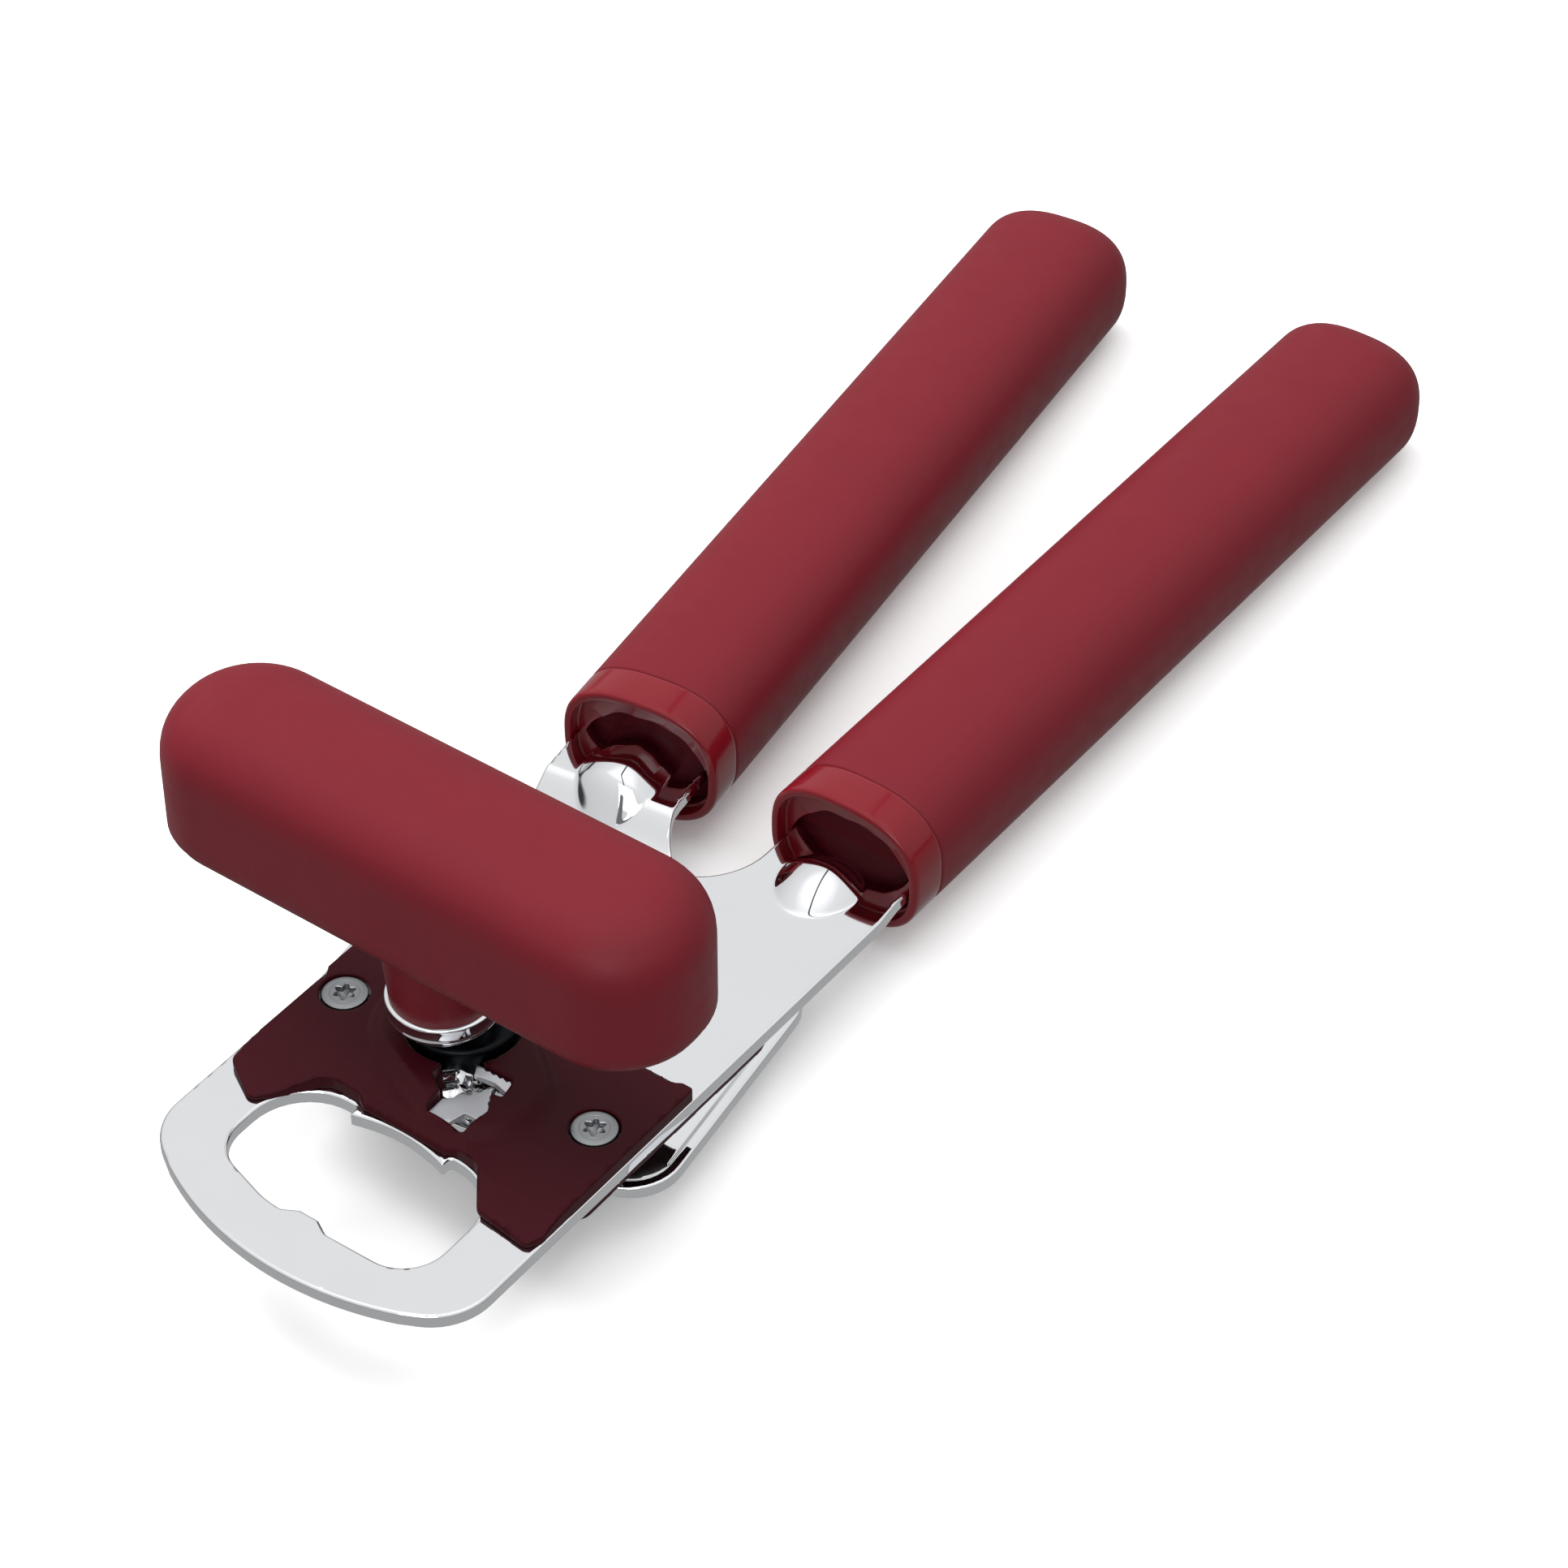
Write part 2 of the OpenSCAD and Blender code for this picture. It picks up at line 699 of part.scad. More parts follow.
module cutter_stud() {
    color(steel) {
        rod(stud_d, cutter_z - slide_gap, lever_z + lever_t - cutter_z + slide_gap, cutter_at);
        rod(stud_d + 2 * stud_rim, cutter_z - slide_gap - stud_head_h, stud_head_h, cutter_at);
    }
}

module cutter_spacer() {
    color(steel) ring(spacer_d, stud_d, feed_z, lever_z - feed_z, cutter_at);
}

// The blade is bevelled from below, so that its edge runs along the feed wheel's face
module cutting_wheel() {
    r = cutter_d / 2;
    bore_r = stud_d / 2 + run_fit;
    color(steel) translate([cutter_x, cutter_y, cutter_z]) rotate_extrude()
        polygon([
            [bore_r, 0], [bore_r + cutter_hub, 0], [bore_r + cutter_hub, cutter_relief],
            [r - cutter_bevel, cutter_relief], [r, cutter_t - cutter_edge], [r, cutter_t], [bore_r, cutter_t]
        ]);
}

module feed_wheel() {
    tip = feed_d / 2;
    root = tip - tooth_depth;
    step = 360 / feed_teeth;
    color(steel) difference() {
        translate([0, 0, feed_z]) linear_extrude(feed_t) polygon([
            for (i = [0:feed_teeth - 1]) each [
                root * [cos(i * step), sin(i * step)],
                tip * [cos((i + 0.35) * step), sin((i + 0.35) * step)],
                tip * [cos((i + 0.6) * step), sin((i + 0.6) * step)]
            ]
        ]);
        rod(shaft_d, feed_z - cut, feed_t + 2 * cut);
    }
}

module thrust_washer() {
    color(steel) ring(shaft_d + 2 * washer_rim, shaft_d + 2 * run_fit, thrust_z, thrust_t);
}

module shaft_nut() {
    color(steel) difference() {
        translate([0, 0, nut_z]) cylinder(d = nut_af / cos(30), h = nut_h, $fn = 6);
        rod(thread_d, nut_z - cut, nut_h + 2 * cut);
    }
}

// ---------- Crank ----------

module crank_shaft() {
    color(steel) {
        rod(thread_d, 0, feed_z);
        rod(shaft_d, feed_z, shaft_top - feed_z);
    }
}

module spring_washer() {
    color(steel) ring(shaft_d + 2 * wave_rim, shaft_d + 2 * run_fit, head_top + slide_gap, wave_t);
}

// The ferrule: a cone that opens upwards into a straight-sided cup round the stem
module ferrule() {
    r = ferrule_d / 2;
    color(chrome) translate([0, 0, ferrule_z]) rotate_extrude()
        polygon([
            [shaft_d / 2, 0], [r - 2.6, 0], [r - ferrule_wall / 2, 1.0], [r, ferrule_floor], [r, ferrule_h],
            [stem_d / 2, ferrule_h], [stem_d / 2, ferrule_floor], [shaft_d / 2, ferrule_floor]
        ]);
}

function knob_ring(z, inset) =
    at_height(round_box(knob_l - 2 * inset, knob_w - 2 * inset, max(knob_corner_r - inset, 1)), z);

// Levels of the cap, closer together round its upper edge
module knob_cap() {
    z0 = knob_z + knob_base_h;
    z1 = knob_z + knob_h;
    levels = concat([z0], [for (i = [0:7]) z1 - knob_edge_r + knob_edge_r * sin(90 * i / 7)]);
    color(soft_red) difference() {
        loft([for (z = levels) knob_ring(z, draw_in(knob_edge_r, z1 - z) * 0.98)]);
        knob_plug();
    }
}

module knob_plug() {
    z0 = knob_z + knob_base_h;
    translate([0, 0, z0 - cut])
        linear_extrude(plug_h + cut)
        polygon(round_box(knob_l - 2 * knob_wall, knob_w - 2 * knob_wall, knob_corner_r - knob_wall));
}

module knob_base() {
    color(plastic) difference() {
        union() {
            loft([knob_ring(knob_z, 1.8), knob_ring(knob_z + knob_base_h * 0.5, 0.7),
                knob_ring(knob_z + knob_base_h, 0.3)]);
            intersection() {
                knob_plug();
                translate([-knob_l, -knob_l, knob_z + knob_base_h]) cube([2 * knob_l, 2 * knob_l, plug_h]);
            }
            rod(stem_d, stem_z, ferrule_top - stem_z);
            translate([0, 0, ferrule_top])
                cylinder(d1 = stem_d, d2 = stem_d + stem_flare, h = knob_z - ferrule_top + stem_sink);
        }
        rod(shaft_d, stem_z - cut, shaft_top - stem_z + cut);
    }
}

upper_plate();
head_cover();
cover_screws();
glide_pad();
pivot_bush();
bush_keeper();
right_core();
right_grip();
lower_plate();
left_core();
left_grip();
cutter_stud();
cutter_spacer();
cutting_wheel();
knob_cap();
knob_base();
ferrule();
spring_washer();
crank_shaft();
feed_wheel();
thrust_washer();
shaft_nut();
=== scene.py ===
import logging
import math
from dataclasses import dataclass, field
from enum import Enum
from typing import Callable, Sequence

import bpy
import numpy as np
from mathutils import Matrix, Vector
from mathutils.geometry import delaunay_2d_cdt


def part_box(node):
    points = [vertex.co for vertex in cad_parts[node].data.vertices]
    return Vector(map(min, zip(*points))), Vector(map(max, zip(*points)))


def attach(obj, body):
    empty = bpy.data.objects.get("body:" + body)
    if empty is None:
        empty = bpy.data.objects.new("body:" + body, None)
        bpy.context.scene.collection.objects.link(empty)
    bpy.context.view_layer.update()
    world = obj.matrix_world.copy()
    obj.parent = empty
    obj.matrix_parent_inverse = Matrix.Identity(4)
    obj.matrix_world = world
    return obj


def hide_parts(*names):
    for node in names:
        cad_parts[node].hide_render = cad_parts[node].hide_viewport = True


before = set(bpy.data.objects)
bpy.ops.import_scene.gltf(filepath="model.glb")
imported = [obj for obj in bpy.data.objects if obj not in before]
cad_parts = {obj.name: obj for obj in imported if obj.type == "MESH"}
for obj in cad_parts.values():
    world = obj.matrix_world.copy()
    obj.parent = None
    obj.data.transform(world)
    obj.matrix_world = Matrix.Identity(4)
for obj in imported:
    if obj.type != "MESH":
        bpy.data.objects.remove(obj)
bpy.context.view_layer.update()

MM = 0.001
log = logging.getLogger("can_opener")

Point = tuple[float, float]
Corner = tuple[float, float, float]
Height = Callable[[np.ndarray, np.ndarray], np.ndarray]


# ---------------------------------------------------------------- finishes


def linear(hex_colour: str) -> tuple[float, float, float, float]:
    """Turns an sRGB hex colour into Blender's linear colour.

    Args:
        hex_colour: six hex digits, such as "8C2A38".

    Returns:
        Linear red, green and blue, with an alpha of 1.
    """
    channels = [int(hex_colour[i:i + 2], 16) / 255 for i in (0, 2, 4)]
    curve = [c / 12.92 if c <= 0.04045 else ((c + 0.055) / 1.055) ** 2.4 for c in channels]
    return (*curve, 1.0)


def per_metre(size_mm: float) -> float:
    """Texture scale that gives a pattern of that real size in millimetres."""
    return 1.0 / (size_mm * MM)


def add(tree: bpy.types.NodeTree, kind: str, settings: dict | None = None, links: dict | None = None,
        **properties: object) -> bpy.types.Node:
    """Adds one shader node with its settings and links.

    Args:
        tree: the material's or world's node tree.
        kind: the node's type name, without "ShaderNode".
        settings: values for input sockets, by name or index.
        links: output sockets to link to input sockets, by name or index.
        properties: the node's own properties.

    Returns:
        The new node.
    """
    made = tree.nodes.new("ShaderNode" + kind)
    for name, value in properties.items():
        setattr(made, name, value)
    for socket, value in (settings or {}).items():
        made.inputs[socket].default_value = value
    for socket, source in (links or {}).items():
        tree.links.new(source, made.inputs[socket])
    return made


class Grain(Enum):
    """How a surface's fine relief is laid out."""

    SPARK = "spark eroded mould texture"
    SPRAY = "sprayed soft paint"
    POLISH = "buffing haze"
    TURNED = "turning rings round a vertical axis"
    TUMBLED = "tumbled plating"


@dataclass(frozen=True)
class Finish:
    """One finish: what it is made of, and how its surface was made."""

    name: str
    colour: str
    shade: str
    metallic: float
    roughness: float
    roughness_swing: float
    grain: Grain
    grain_mm: float
    relief_mm: float
    ior: float = 1.5
    coat: float = 0.0
    coat_roughness: float = 0.1
    sheen: float = 0.0
    specular: float = 0.5
    mottle_mm: float = 9.0

    def build(self) -> bpy.types.Material:
        """Makes the material: mottled colour, uneven roughness and fine relief."""
        material = bpy.data.materials.new(self.name)
        material.use_nodes = True
        tree = material.node_tree
        tree.nodes.clear()
        place = add(tree, "TexCoord").outputs["Object"]
        mottle = add(tree, "TexNoise", {"Scale": per_metre(self.mottle_mm), "Detail": 4.0}, {"Vector": place})
        colour = add(tree, "Mix", {6: linear(self.colour), 7: linear(self.shade)},
                     {0: mottle.outputs["Fac"]}, data_type="RGBA")
        uneven = add(tree, "TexNoise", {"Scale": per_metre(self.mottle_mm / 3), "Detail": 6.0}, {"Vector": place})
        rough = add(tree, "MapRange", {
            "From Min": 0.3, "From Max": 0.7,
            "To Min": self.roughness - self.roughness_swing, "To Max": self.roughness + self.roughness_swing,
        }, {"Value": uneven.outputs["Fac"]})
        relief = add(tree, "Bump", {"Strength": 1.0, "Distance": self.relief_mm * MM},
                     {"Height": self.relief(tree, place)})
        shader = add(tree, "BsdfPrincipled", {
            "Metallic": self.metallic,
            "IOR": self.ior,
            "Coat Weight": self.coat,
            "Coat Roughness": self.coat_roughness,
            "Sheen Weight": self.sheen,
            "Specular IOR Level": self.specular,
        }, {"Base Color": colour.outputs[2], "Roughness": rough.outputs[0], "Normal": relief.outputs[0]})
        add(tree, "OutputMaterial", None, {"Surface": shader.outputs[0]})
        return material

    def relief(self, tree: bpy.types.NodeTree, place: bpy.types.NodeSocket) -> bpy.types.NodeSocket:
        """The height pattern that suits the finish's grain.

        Args:
            tree: the material's node tree.
            place: the object coordinates' socket.

        Returns:
            The socket that carries the height.
        """
        scale = per_metre(self.grain_mm)
        if self.grain is Grain.TURNED:
            return add(tree, "TexWave", {"Scale": scale / 6, "Distortion": 1.0, "Detail": 2.0}, {"Vector": place},
                       wave_type="RINGS", rings_direction="Z").outputs["Fac"]
        if self.grain is Grain.SPARK:
            return add(tree, "TexVoronoi", {"Scale": scale, "Randomness": 1.0}, {"Vector": place},
                       feature="SMOOTH_F1").outputs["Distance"]
        detail = {Grain.SPRAY: 3.0, Grain.POLISH: 1.0, Grain.TUMBLED: 5.0}[self.grain]
        return add(tree, "TexNoise", {"Scale": scale, "Detail": detail}, {"Vector": place}).outputs["Fac"]


# Bright nickel-chrome plate over buffed steel: a mirror with the faintest waviness.
CHROME = Finish("chrome_plate", "E9EAEC", "E2E4E7", 1.0, 0.045, 0.015, Grain.POLISH, 6.0, 0.004)
# Soft-touch paint over a moulded shell: even, matte, with a fine peppery grain that catches the light.
SOFT_TOUCH = Finish("soft_touch_red", "69131F", "63121D", 0.0, 0.5, 0.04, Grain.SPRAY, 0.4, 0.02,
                    specular=0.23)
# Polypropylene core, glossy from a polished mould: clear highlights on a deep red.
CORE_GLOSS = Finish("gloss_core_red", "700E19", "690D17", 0.0, 0.2, 0.03, Grain.POLISH, 3.0, 0.003,
                    coat=0.12, coat_roughness=0.08, specular=0.26)
# The same plastic inside the collar, left dull by the core pin; its darker red is painted shade of the recess.
CORE_HOLLOW_SHADED = Finish("dull_core_hollow_painted_shade", "4A0912", "420810", 0.0, 0.5, 0.05, Grain.SPARK, 0.5, 0.01,
                     specular=0.06)
# ABS cover from a spark-eroded mould: dark maroon with a dull, pitted surface.
COVER_ABS = Finish("moulded_abs_maroon", "370A11", "300910", 0.0, 0.4, 0.05, Grain.SPARK, 0.3, 0.012,
                   specular=0.09)
# Zinc-plated steel: grey, satin, slightly patchy.
ZINC = Finish("zinc_plated_steel", "949698", "848689", 1.0, 0.34, 0.08, Grain.TUMBLED, 0.5, 0.01)
# Satin nickel on the tongue that guides the can's rim.
SATIN_NICKEL = Finish("satin_nickel", "C4C4C8", "B8B8BC", 1.0, 0.42, 0.05, Grain.TUMBLED, 0.6, 0.006)
# Hardened steel with a turned face, on the two wheels.
WHEEL_STEEL = Finish("ground_wheel_steel", "B9BBBD", "AAACAE", 1.0, 0.24, 0.06, Grain.TURNED, 0.35, 0.006)
# Oiled black oxide on sintered steel: nearly black, with a soft shine.
BLACK_OXIDE = Finish("black_oxide_steel", "1B1D20", "151719", 1.0, 0.3, 0.06, Grain.TUMBLED, 0.4, 0.006)


@dataclass(frozen=True)
class Bench:
    """Matt white paper sweep under the opener."""

    name: str = "paper_sweep"
    colour: str = "F2F2F2"
    glow: float = 0.09
    fibre_mm: float = 0.6

    def build(self) -> bpy.types.Material:
        """Makes the paper: dull white with a barely visible fibre."""
        material = bpy.data.materials.new(self.name)
        material.use_nodes = True
        tree = material.node_tree
        tree.nodes.clear()
        place = add(tree, "TexCoord").outputs["Object"]
        fibre = add(tree, "TexNoise", {"Scale": per_metre(self.fibre_mm), "Detail": 4.0}, {"Vector": place})
        bump = add(tree, "Bump", {"Strength": 0.2, "Distance": 0.02 * MM}, {"Height": fibre.outputs["Fac"]})
        shader = add(tree, "BsdfPrincipled", {"Base Color": linear(self.colour), "Roughness": 0.9,
                                              "Specular IOR Level": 0.1, "Emission Color": (1, 1, 1, 1),
                                              "Emission Strength": self.glow}, {"Normal": bump.outputs[0]})
        add(tree, "OutputMaterial", None, {"Surface": shader.outputs[0]})
        return material


_materials: dict[str, bpy.types.Material] = {}


def material_of(finish: Finish | Bench) -> bpy.types.Material:
    """The material of a finish, made the first time that it is asked for."""
    if finish.name not in _materials:
        _materials[finish.name] = finish.build()
    return _materials[finish.name]


# ---------------------------------------------------------------- outlines


def rounded(corners: Sequence[Corner], steps: int = 10) -> list[Point]:
    """Rounds the corners of an outline.

    Args:
        corners: x, y and radius of each corner, in order.
        steps: how many chords make one rounded corner.

    Returns:
        The outline's points.
    """
    points: list[Point] = []
    for i, (x, y, r) in enumerate(corners):
        p = Vector((x, y))
        if r == 0:
            points.append((x, y))
            continue
        u = (Vector(corners[i - 1][:2]) - p).normalized()
        w = (Vector(corners[(i + 1) % len(corners)][:2]) - p).normalized()
        half = math.acos(max(-1.0, min(1.0, u.dot(w)))) / 2
        middle = p + (u + w).normalized() * r / math.sin(half)
        s = p + u * r / math.tan(half) - middle
        e = p + w * r / math.tan(half) - middle
        start = math.atan2(s.y, s.x)
        turn = math.atan2(s.x * e.y - s.y * e.x, s.dot(e))
        for k in range(steps + 1):
            a = start + turn * k / steps
            points.append((middle.x + r * math.cos(a), middle.y + r * math.sin(a)))
    return points


def circle(centre: Point, r: float, steps: int = 56) -> list[Point]:
    """The points of a full circle."""
    return [(centre[0] + r * math.cos(2 * math.pi * k / steps), centre[1] + r * math.sin(2 * math.pi * k / steps))
            for k in range(steps)]


def arc(centre: Point, r: float, start: float, end: float, steps: int) -> list[Corner]:
    """The points of an arc, as corners with no rounding. Angles are in degrees."""
    turns = [math.radians(start + (end - start) * k / steps) for k in range(steps + 1)]
    return [(centre[0] + r * math.cos(a), centre[1] + r * math.sin(a), 0.0) for a in turns]


def oval(a: float, b: float, power: float = 2.6, steps: int = 96) -> list[Point]:
    """The squarish oval of the handles in section."""
    points = []
    for k in range(steps):
        t = 2 * math.pi * k / steps
        c, s = math.cos(t), math.sin(t)
        points.append((math.copysign(abs(c) ** (2 / power) * a, c), math.copysign(abs(s) ** (2 / power) * b, s)))
    return points


def smooth(t: np.ndarray | float) -> np.ndarray | float:
    """Rises smoothly from 0 to 1 as t does."""
    t = np.clip(t, 0.0, 1.0)
    return t * t * (3 - 2 * t)


def resampled(loop: Sequence[Point], spacing: float) -> list[Point]:
    """Adds points along the long edges of an outline, so that none is longer than the spacing."""
    out: list[Point] = []
    for i, p in enumerate(loop):
        q = loop[(i + 1) % len(loop)]
        n = max(1, math.ceil(math.dist(p, q) / spacing))
        out += [(p[0] + (q[0] - p[0]) * k / n, p[1] + (q[1] - p[1]) * k / n) for k in range(n)]
    return out


def inside(points: np.ndarray, loop: Sequence[Point]) -> np.ndarray:
    """Says which points lie inside an outline."""
    x, y = points[:, 0], points[:, 1]
    result = np.zeros(len(points), bool)
    for i, (x0, y0) in enumerate(loop):
        x1, y1 = loop[(i + 1) % len(loop)]
        crosses = (y0 > y) != (y1 > y)
        slope = (x1 - x0) * (y - y0) / (y1 - y0 if y1 != y0 else 1e-12) + x0
        result ^= crosses & (x < slope)
    return result


def rim_distance(points: np.ndarray, loops: Sequence[Sequence[Point]]) -> np.ndarray:
    """Distance of each point from the nearest of several outlines."""
    return np.hypot(*to_rim(points, loops).T)


def to_rim(points: np.ndarray, loops: Sequence[Sequence[Point]]) -> np.ndarray:
    """The way from each point to the nearest place on several outlines."""
    best = np.full((len(points), 2), 1e6)
    for loop in loops:
        ends = np.array(loop)
        for a, b in zip(ends, np.roll(ends, -1, axis=0)):
            ab = b - a
            t = np.clip(((points - a) @ ab) / max(ab @ ab, 1e-12), 0, 1)
            way = a + t[:, None] * ab - points
            nearer = (way ** 2).sum(1) < (best ** 2).sum(1)
            best[nearer] = way[nearer]
    return best


def area(loop: Sequence[Point]) -> float:
    """Signed area of an outline, positive when it runs anticlockwise."""
    return sum(x0 * y1 - x1 * y0 for (x0, y0), (x1, y1) in zip(loop, [*loop[1:], loop[0]])) / 2


# ---------------------------------------------------------------- meshes


def new_piece(name: str, points: Sequence[Sequence[float]], faces: Sequence[Sequence[int]], finish: Finish,
              smooth_angle: float = 40.0, normals: np.ndarray | None = None) -> bpy.types.Object:
    """Makes one mesh piece from points in millimetres.

    Args:
        name: the piece's name.
        points: the vertices, in millimetres in the part's frame.
        faces: the vertex numbers of each face.
        finish: the finish that the piece has.
        smooth_angle: edges that bend more than this many degrees stay sharp.
        normals: the true surface direction at each vertex, where a formula gives it.

    Returns:
        The new object.
    """
    mesh = bpy.data.meshes.new(name)
    mesh.from_pydata([tuple(float(c) * MM for c in p) for p in points], [], [tuple(map(int, f)) for f in faces])
    mesh.validate()
    mesh.materials.append(material_of(finish))
    piece = bpy.data.objects.new(name, mesh)
    bpy.context.scene.collection.objects.link(piece)
    mesh.polygons.foreach_set("use_smooth", [True] * len(mesh.polygons))
    if normals is None:
        mesh.set_sharp_from_angle(angle=math.radians(smooth_angle))
    else:
        mesh.normals_split_custom_set_from_vertices([tuple(n) for n in normals])
    return piece


@dataclass
class Pressing:
    """A pressed or moulded sheet: an outline with holes, between two height fields, with rounded edges."""

    outline: list[Point]
    holes: list[list[Point]]
    top: Height
    bottom: Height
    edge_r: float = 0.35
    spacing: float = 2.0
    fine: list[tuple[float, float, float, float, float]] = field(default_factory=list)
    rows: tuple[float, ...] = ()

    def shell(self) -> tuple[np.ndarray, list[list[int]], np.ndarray]:
        """Triangulates the outline and raises it into a closed shell.

        Returns:
            The vertices in millimetres, the faces, and the surface's direction at each vertex.
        """
        loops = [resampled(self.outline, self.spacing)] + [resampled(h, self.spacing) for h in self.holes]
        seeds, edges, outward = [], [], []
        for k, loop in enumerate(loops):
            first = len(seeds)
            seeds += loop
            edges += [(first + i, first + (i + 1) % len(loop)) for i in range(len(loop))]
            ends = np.array(loop)
            along = np.roll(ends, -1, axis=0) - np.roll(ends, 1, axis=0)
            sign = math.copysign(1, area(loop)) * (1 if k == 0 else -1)
            outward.append(sign * np.column_stack([along[:, 1], -along[:, 0]]) / np.hypot(*along.T)[:, None])
        rim = np.array(seeds)
        outward = np.vstack(outward)
        seeds = seeds + self.inner_points(loops)
        made = delaunay_2d_cdt([Vector(p) for p in seeds], edges, [], 0, 1e-5)
        flat = np.array([tuple(v) for v in made[0]])
        faces = np.array([list(f) for f in made[2]])
        middles = flat[faces].mean(axis=1)
        kept = inside(middles, loops[0])
        for hole in loops[1:]:
            kept &= ~inside(middles, hole)
        faces = faces[kept]
        (x0, y0), (x1, y1), (x2, y2) = (flat[faces[0][i]] for i in range(3))
        if (x1 - x0) * (y2 - y0) < (x2 - x0) * (y1 - y0):
            faces = faces[:, ::-1]
        way = to_rim(flat, loops)
        depth = np.hypot(*way.T)
        out = way / np.maximum(depth, 1e-9)[:, None]
        for i in np.nonzero(depth < 1e-4)[0]:
            out[i] = outward[np.argmin(((rim - flat[i]) ** 2).sum(1))]
        lean = np.clip(1 - depth / self.edge_r, 0, 1)
        drawn = self.edge_r * (1 - np.sqrt(1 - lean ** 2))
        sides = []
        x, y = flat.T
        reach = 0.04
        for surface, up in ((self.top, 1), (self.bottom, -1)):
            z = surface(x, y) - up * drawn
            slope = [(surface(x + dx, y + dy) - surface(x - dx, y - dy)) / (2 * reach)
                     for dx, dy in ((reach, 0.0), (0.0, reach))]
            face = np.column_stack([-slope[0], -slope[1], np.ones(len(flat))]) * up
            face /= np.linalg.norm(face, axis=1)[:, None]
            edge = np.column_stack([out, np.zeros(len(flat))])
            sides.append((np.column_stack([flat, z]), face * np.sqrt(1 - lean ** 2)[:, None] + edge * lean[:, None]))
        used = {(a, b) for f in faces for a, b in zip(f, np.roll(f, -1))}
        n = len(flat)
        walls = [[b, a, a + n, b + n] for a, b in used if (b, a) not in used]
        shell_faces = [list(f) for f in faces] + [[i + n for i in f[::-1]] for f in faces] + walls
        return np.vstack([p for p, _ in sides]), shell_faces, np.vstack([d for _, d in sides])

    def inner_points(self, loops: list[list[Point]]) -> list[Point]:
        """Points inside the sheet: rows that follow each edge, and a grid that is finer where asked."""
        rows = [self.edge_r * s for s in (0.1, 0.3, 0.6, 1.0)] + list(self.rows)
        found = []
        for loop in loops:
            ends = np.array(loop)
            along = np.roll(ends, -1, axis=0) - np.roll(ends, 1, axis=0)
            across = np.column_stack([-along[:, 1], along[:, 0]]) / np.hypot(*along.T)[:, None]
            for d in rows:
                found += [ends + across * d, ends - across * d]
        near = np.vstack(found)
        depth = rim_distance(near, loops)
        step = np.min(np.abs(depth[:, None] - np.array(rows)[None]), axis=1)
        kept = [near[step < 0.004]]
        boxes = [(*self.outline_box(), self.spacing)] + list(self.fine)
        for k, (x0, y0, x1, y1, gap) in enumerate(boxes):
            gx, gy = np.meshgrid(np.arange(x0, x1, gap), np.arange(y0, y1, gap))
            grid = np.column_stack([gx.ravel() + (np.arange(gx.size) // gx.shape[1] % 2) * gap / 2, gy.ravel()])
            clear = max(rows) if k == 0 else self.edge_r
            for other in boxes[k + 1:]:
                covered = ((grid[:, 0] > other[0]) & (grid[:, 0] < other[2])
                           & (grid[:, 1] > other[1]) & (grid[:, 1] < other[3]))
                grid = grid[~covered]
            kept.append(grid[rim_distance(grid, loops) > clear * 1.3])
        points = np.vstack(kept)
        mask = inside(points, loops[0])
        for hole in loops[1:]:
            mask &= ~inside(points, hole)
        return [tuple(p) for p in points[mask]]

    def outline_box(self) -> tuple[float, float, float, float]:
        """The outline's lowest and highest x and y."""
        xs, ys = [p[0] for p in self.outline], [p[1] for p in self.outline]
        return min(xs), min(ys), max(xs), max(ys)


def loft(rings: Sequence[Sequence[Sequence[float]]], closed: bool = True) -> tuple[list, list]:
    """Skins a stack of rings that all have the same number of points.

    Args:
        rings: the rings, anticlockwise seen from their far end.
        closed: whether the first and last rings are filled.

    Returns:
        The vertices and the faces.
    """
    n = len(rings[0])
    points = [p for ring in rings for p in ring]
    faces = [[k * n + i, k * n + (i + 1) % n, (k + 1) * n + (i + 1) % n, (k + 1) * n + i]
             for k in range(len(rings) - 1) for i in range(n)]
    if closed:
        faces.append(list(range(n))[::-1])
        faces.append([(len(rings) - 1) * n + i for i in range(n)])
    return points, faces


def polar_rings(levels: Sequence[tuple[float, Callable[[float], float] | float]], centre: Point = (0, 0),
                steps: int = 72) -> list[list[tuple[float, float, float]]]:
    """Rings round a vertical axis.

    Args:
        levels: the height of each ring, and its radius as a number or as a function of the angle in radians.
        centre: where the axis stands.
        steps: points on each ring.

    Returns:
        The rings, ready for loft().
    """
    rings = []
    for z, radius in levels:
        ring = []
        for k in range(steps):
            a = 2 * math.pi * k / steps
            r = radius(a) if callable(radius) else radius
            ring.append((centre[0] + r * math.cos(a), centre[1] + r * math.sin(a), z))
        rings.append(ring)
    return rings


def merged(*parts: tuple[Sequence, Sequence]) -> tuple[list, list]:
    """Joins several sets of vertices and faces into one."""
    points, faces = [], []
    for more_points, more_faces in parts:
        first = len(points)
        points += [tuple(p) for p in more_points]
        faces += [[i + first for i in f] for f in more_faces]
    return points, faces


def merged_shells(*sheets: Pressing) -> tuple[np.ndarray, list[list[int]], np.ndarray]:
    """Joins pressed sheets into one shell.

    Args:
        sheets: the sheets to join.

    Returns:
        The vertices, the faces and the normals of all of them.
    """
    points, faces, normals = [], [], []
    for made, shell_faces, directions in (sheet.shell() for sheet in sheets):
        first = sum(len(p) for p in points)
        points.append(made)
        normals.append(directions)
        faces += [[i + first for i in face] for face in shell_faces]
    return np.vstack(points), faces, np.vstack(normals)


def level(z: float) -> Height:
    """A flat height field."""
    return lambda x, y: np.full(len(x), z)


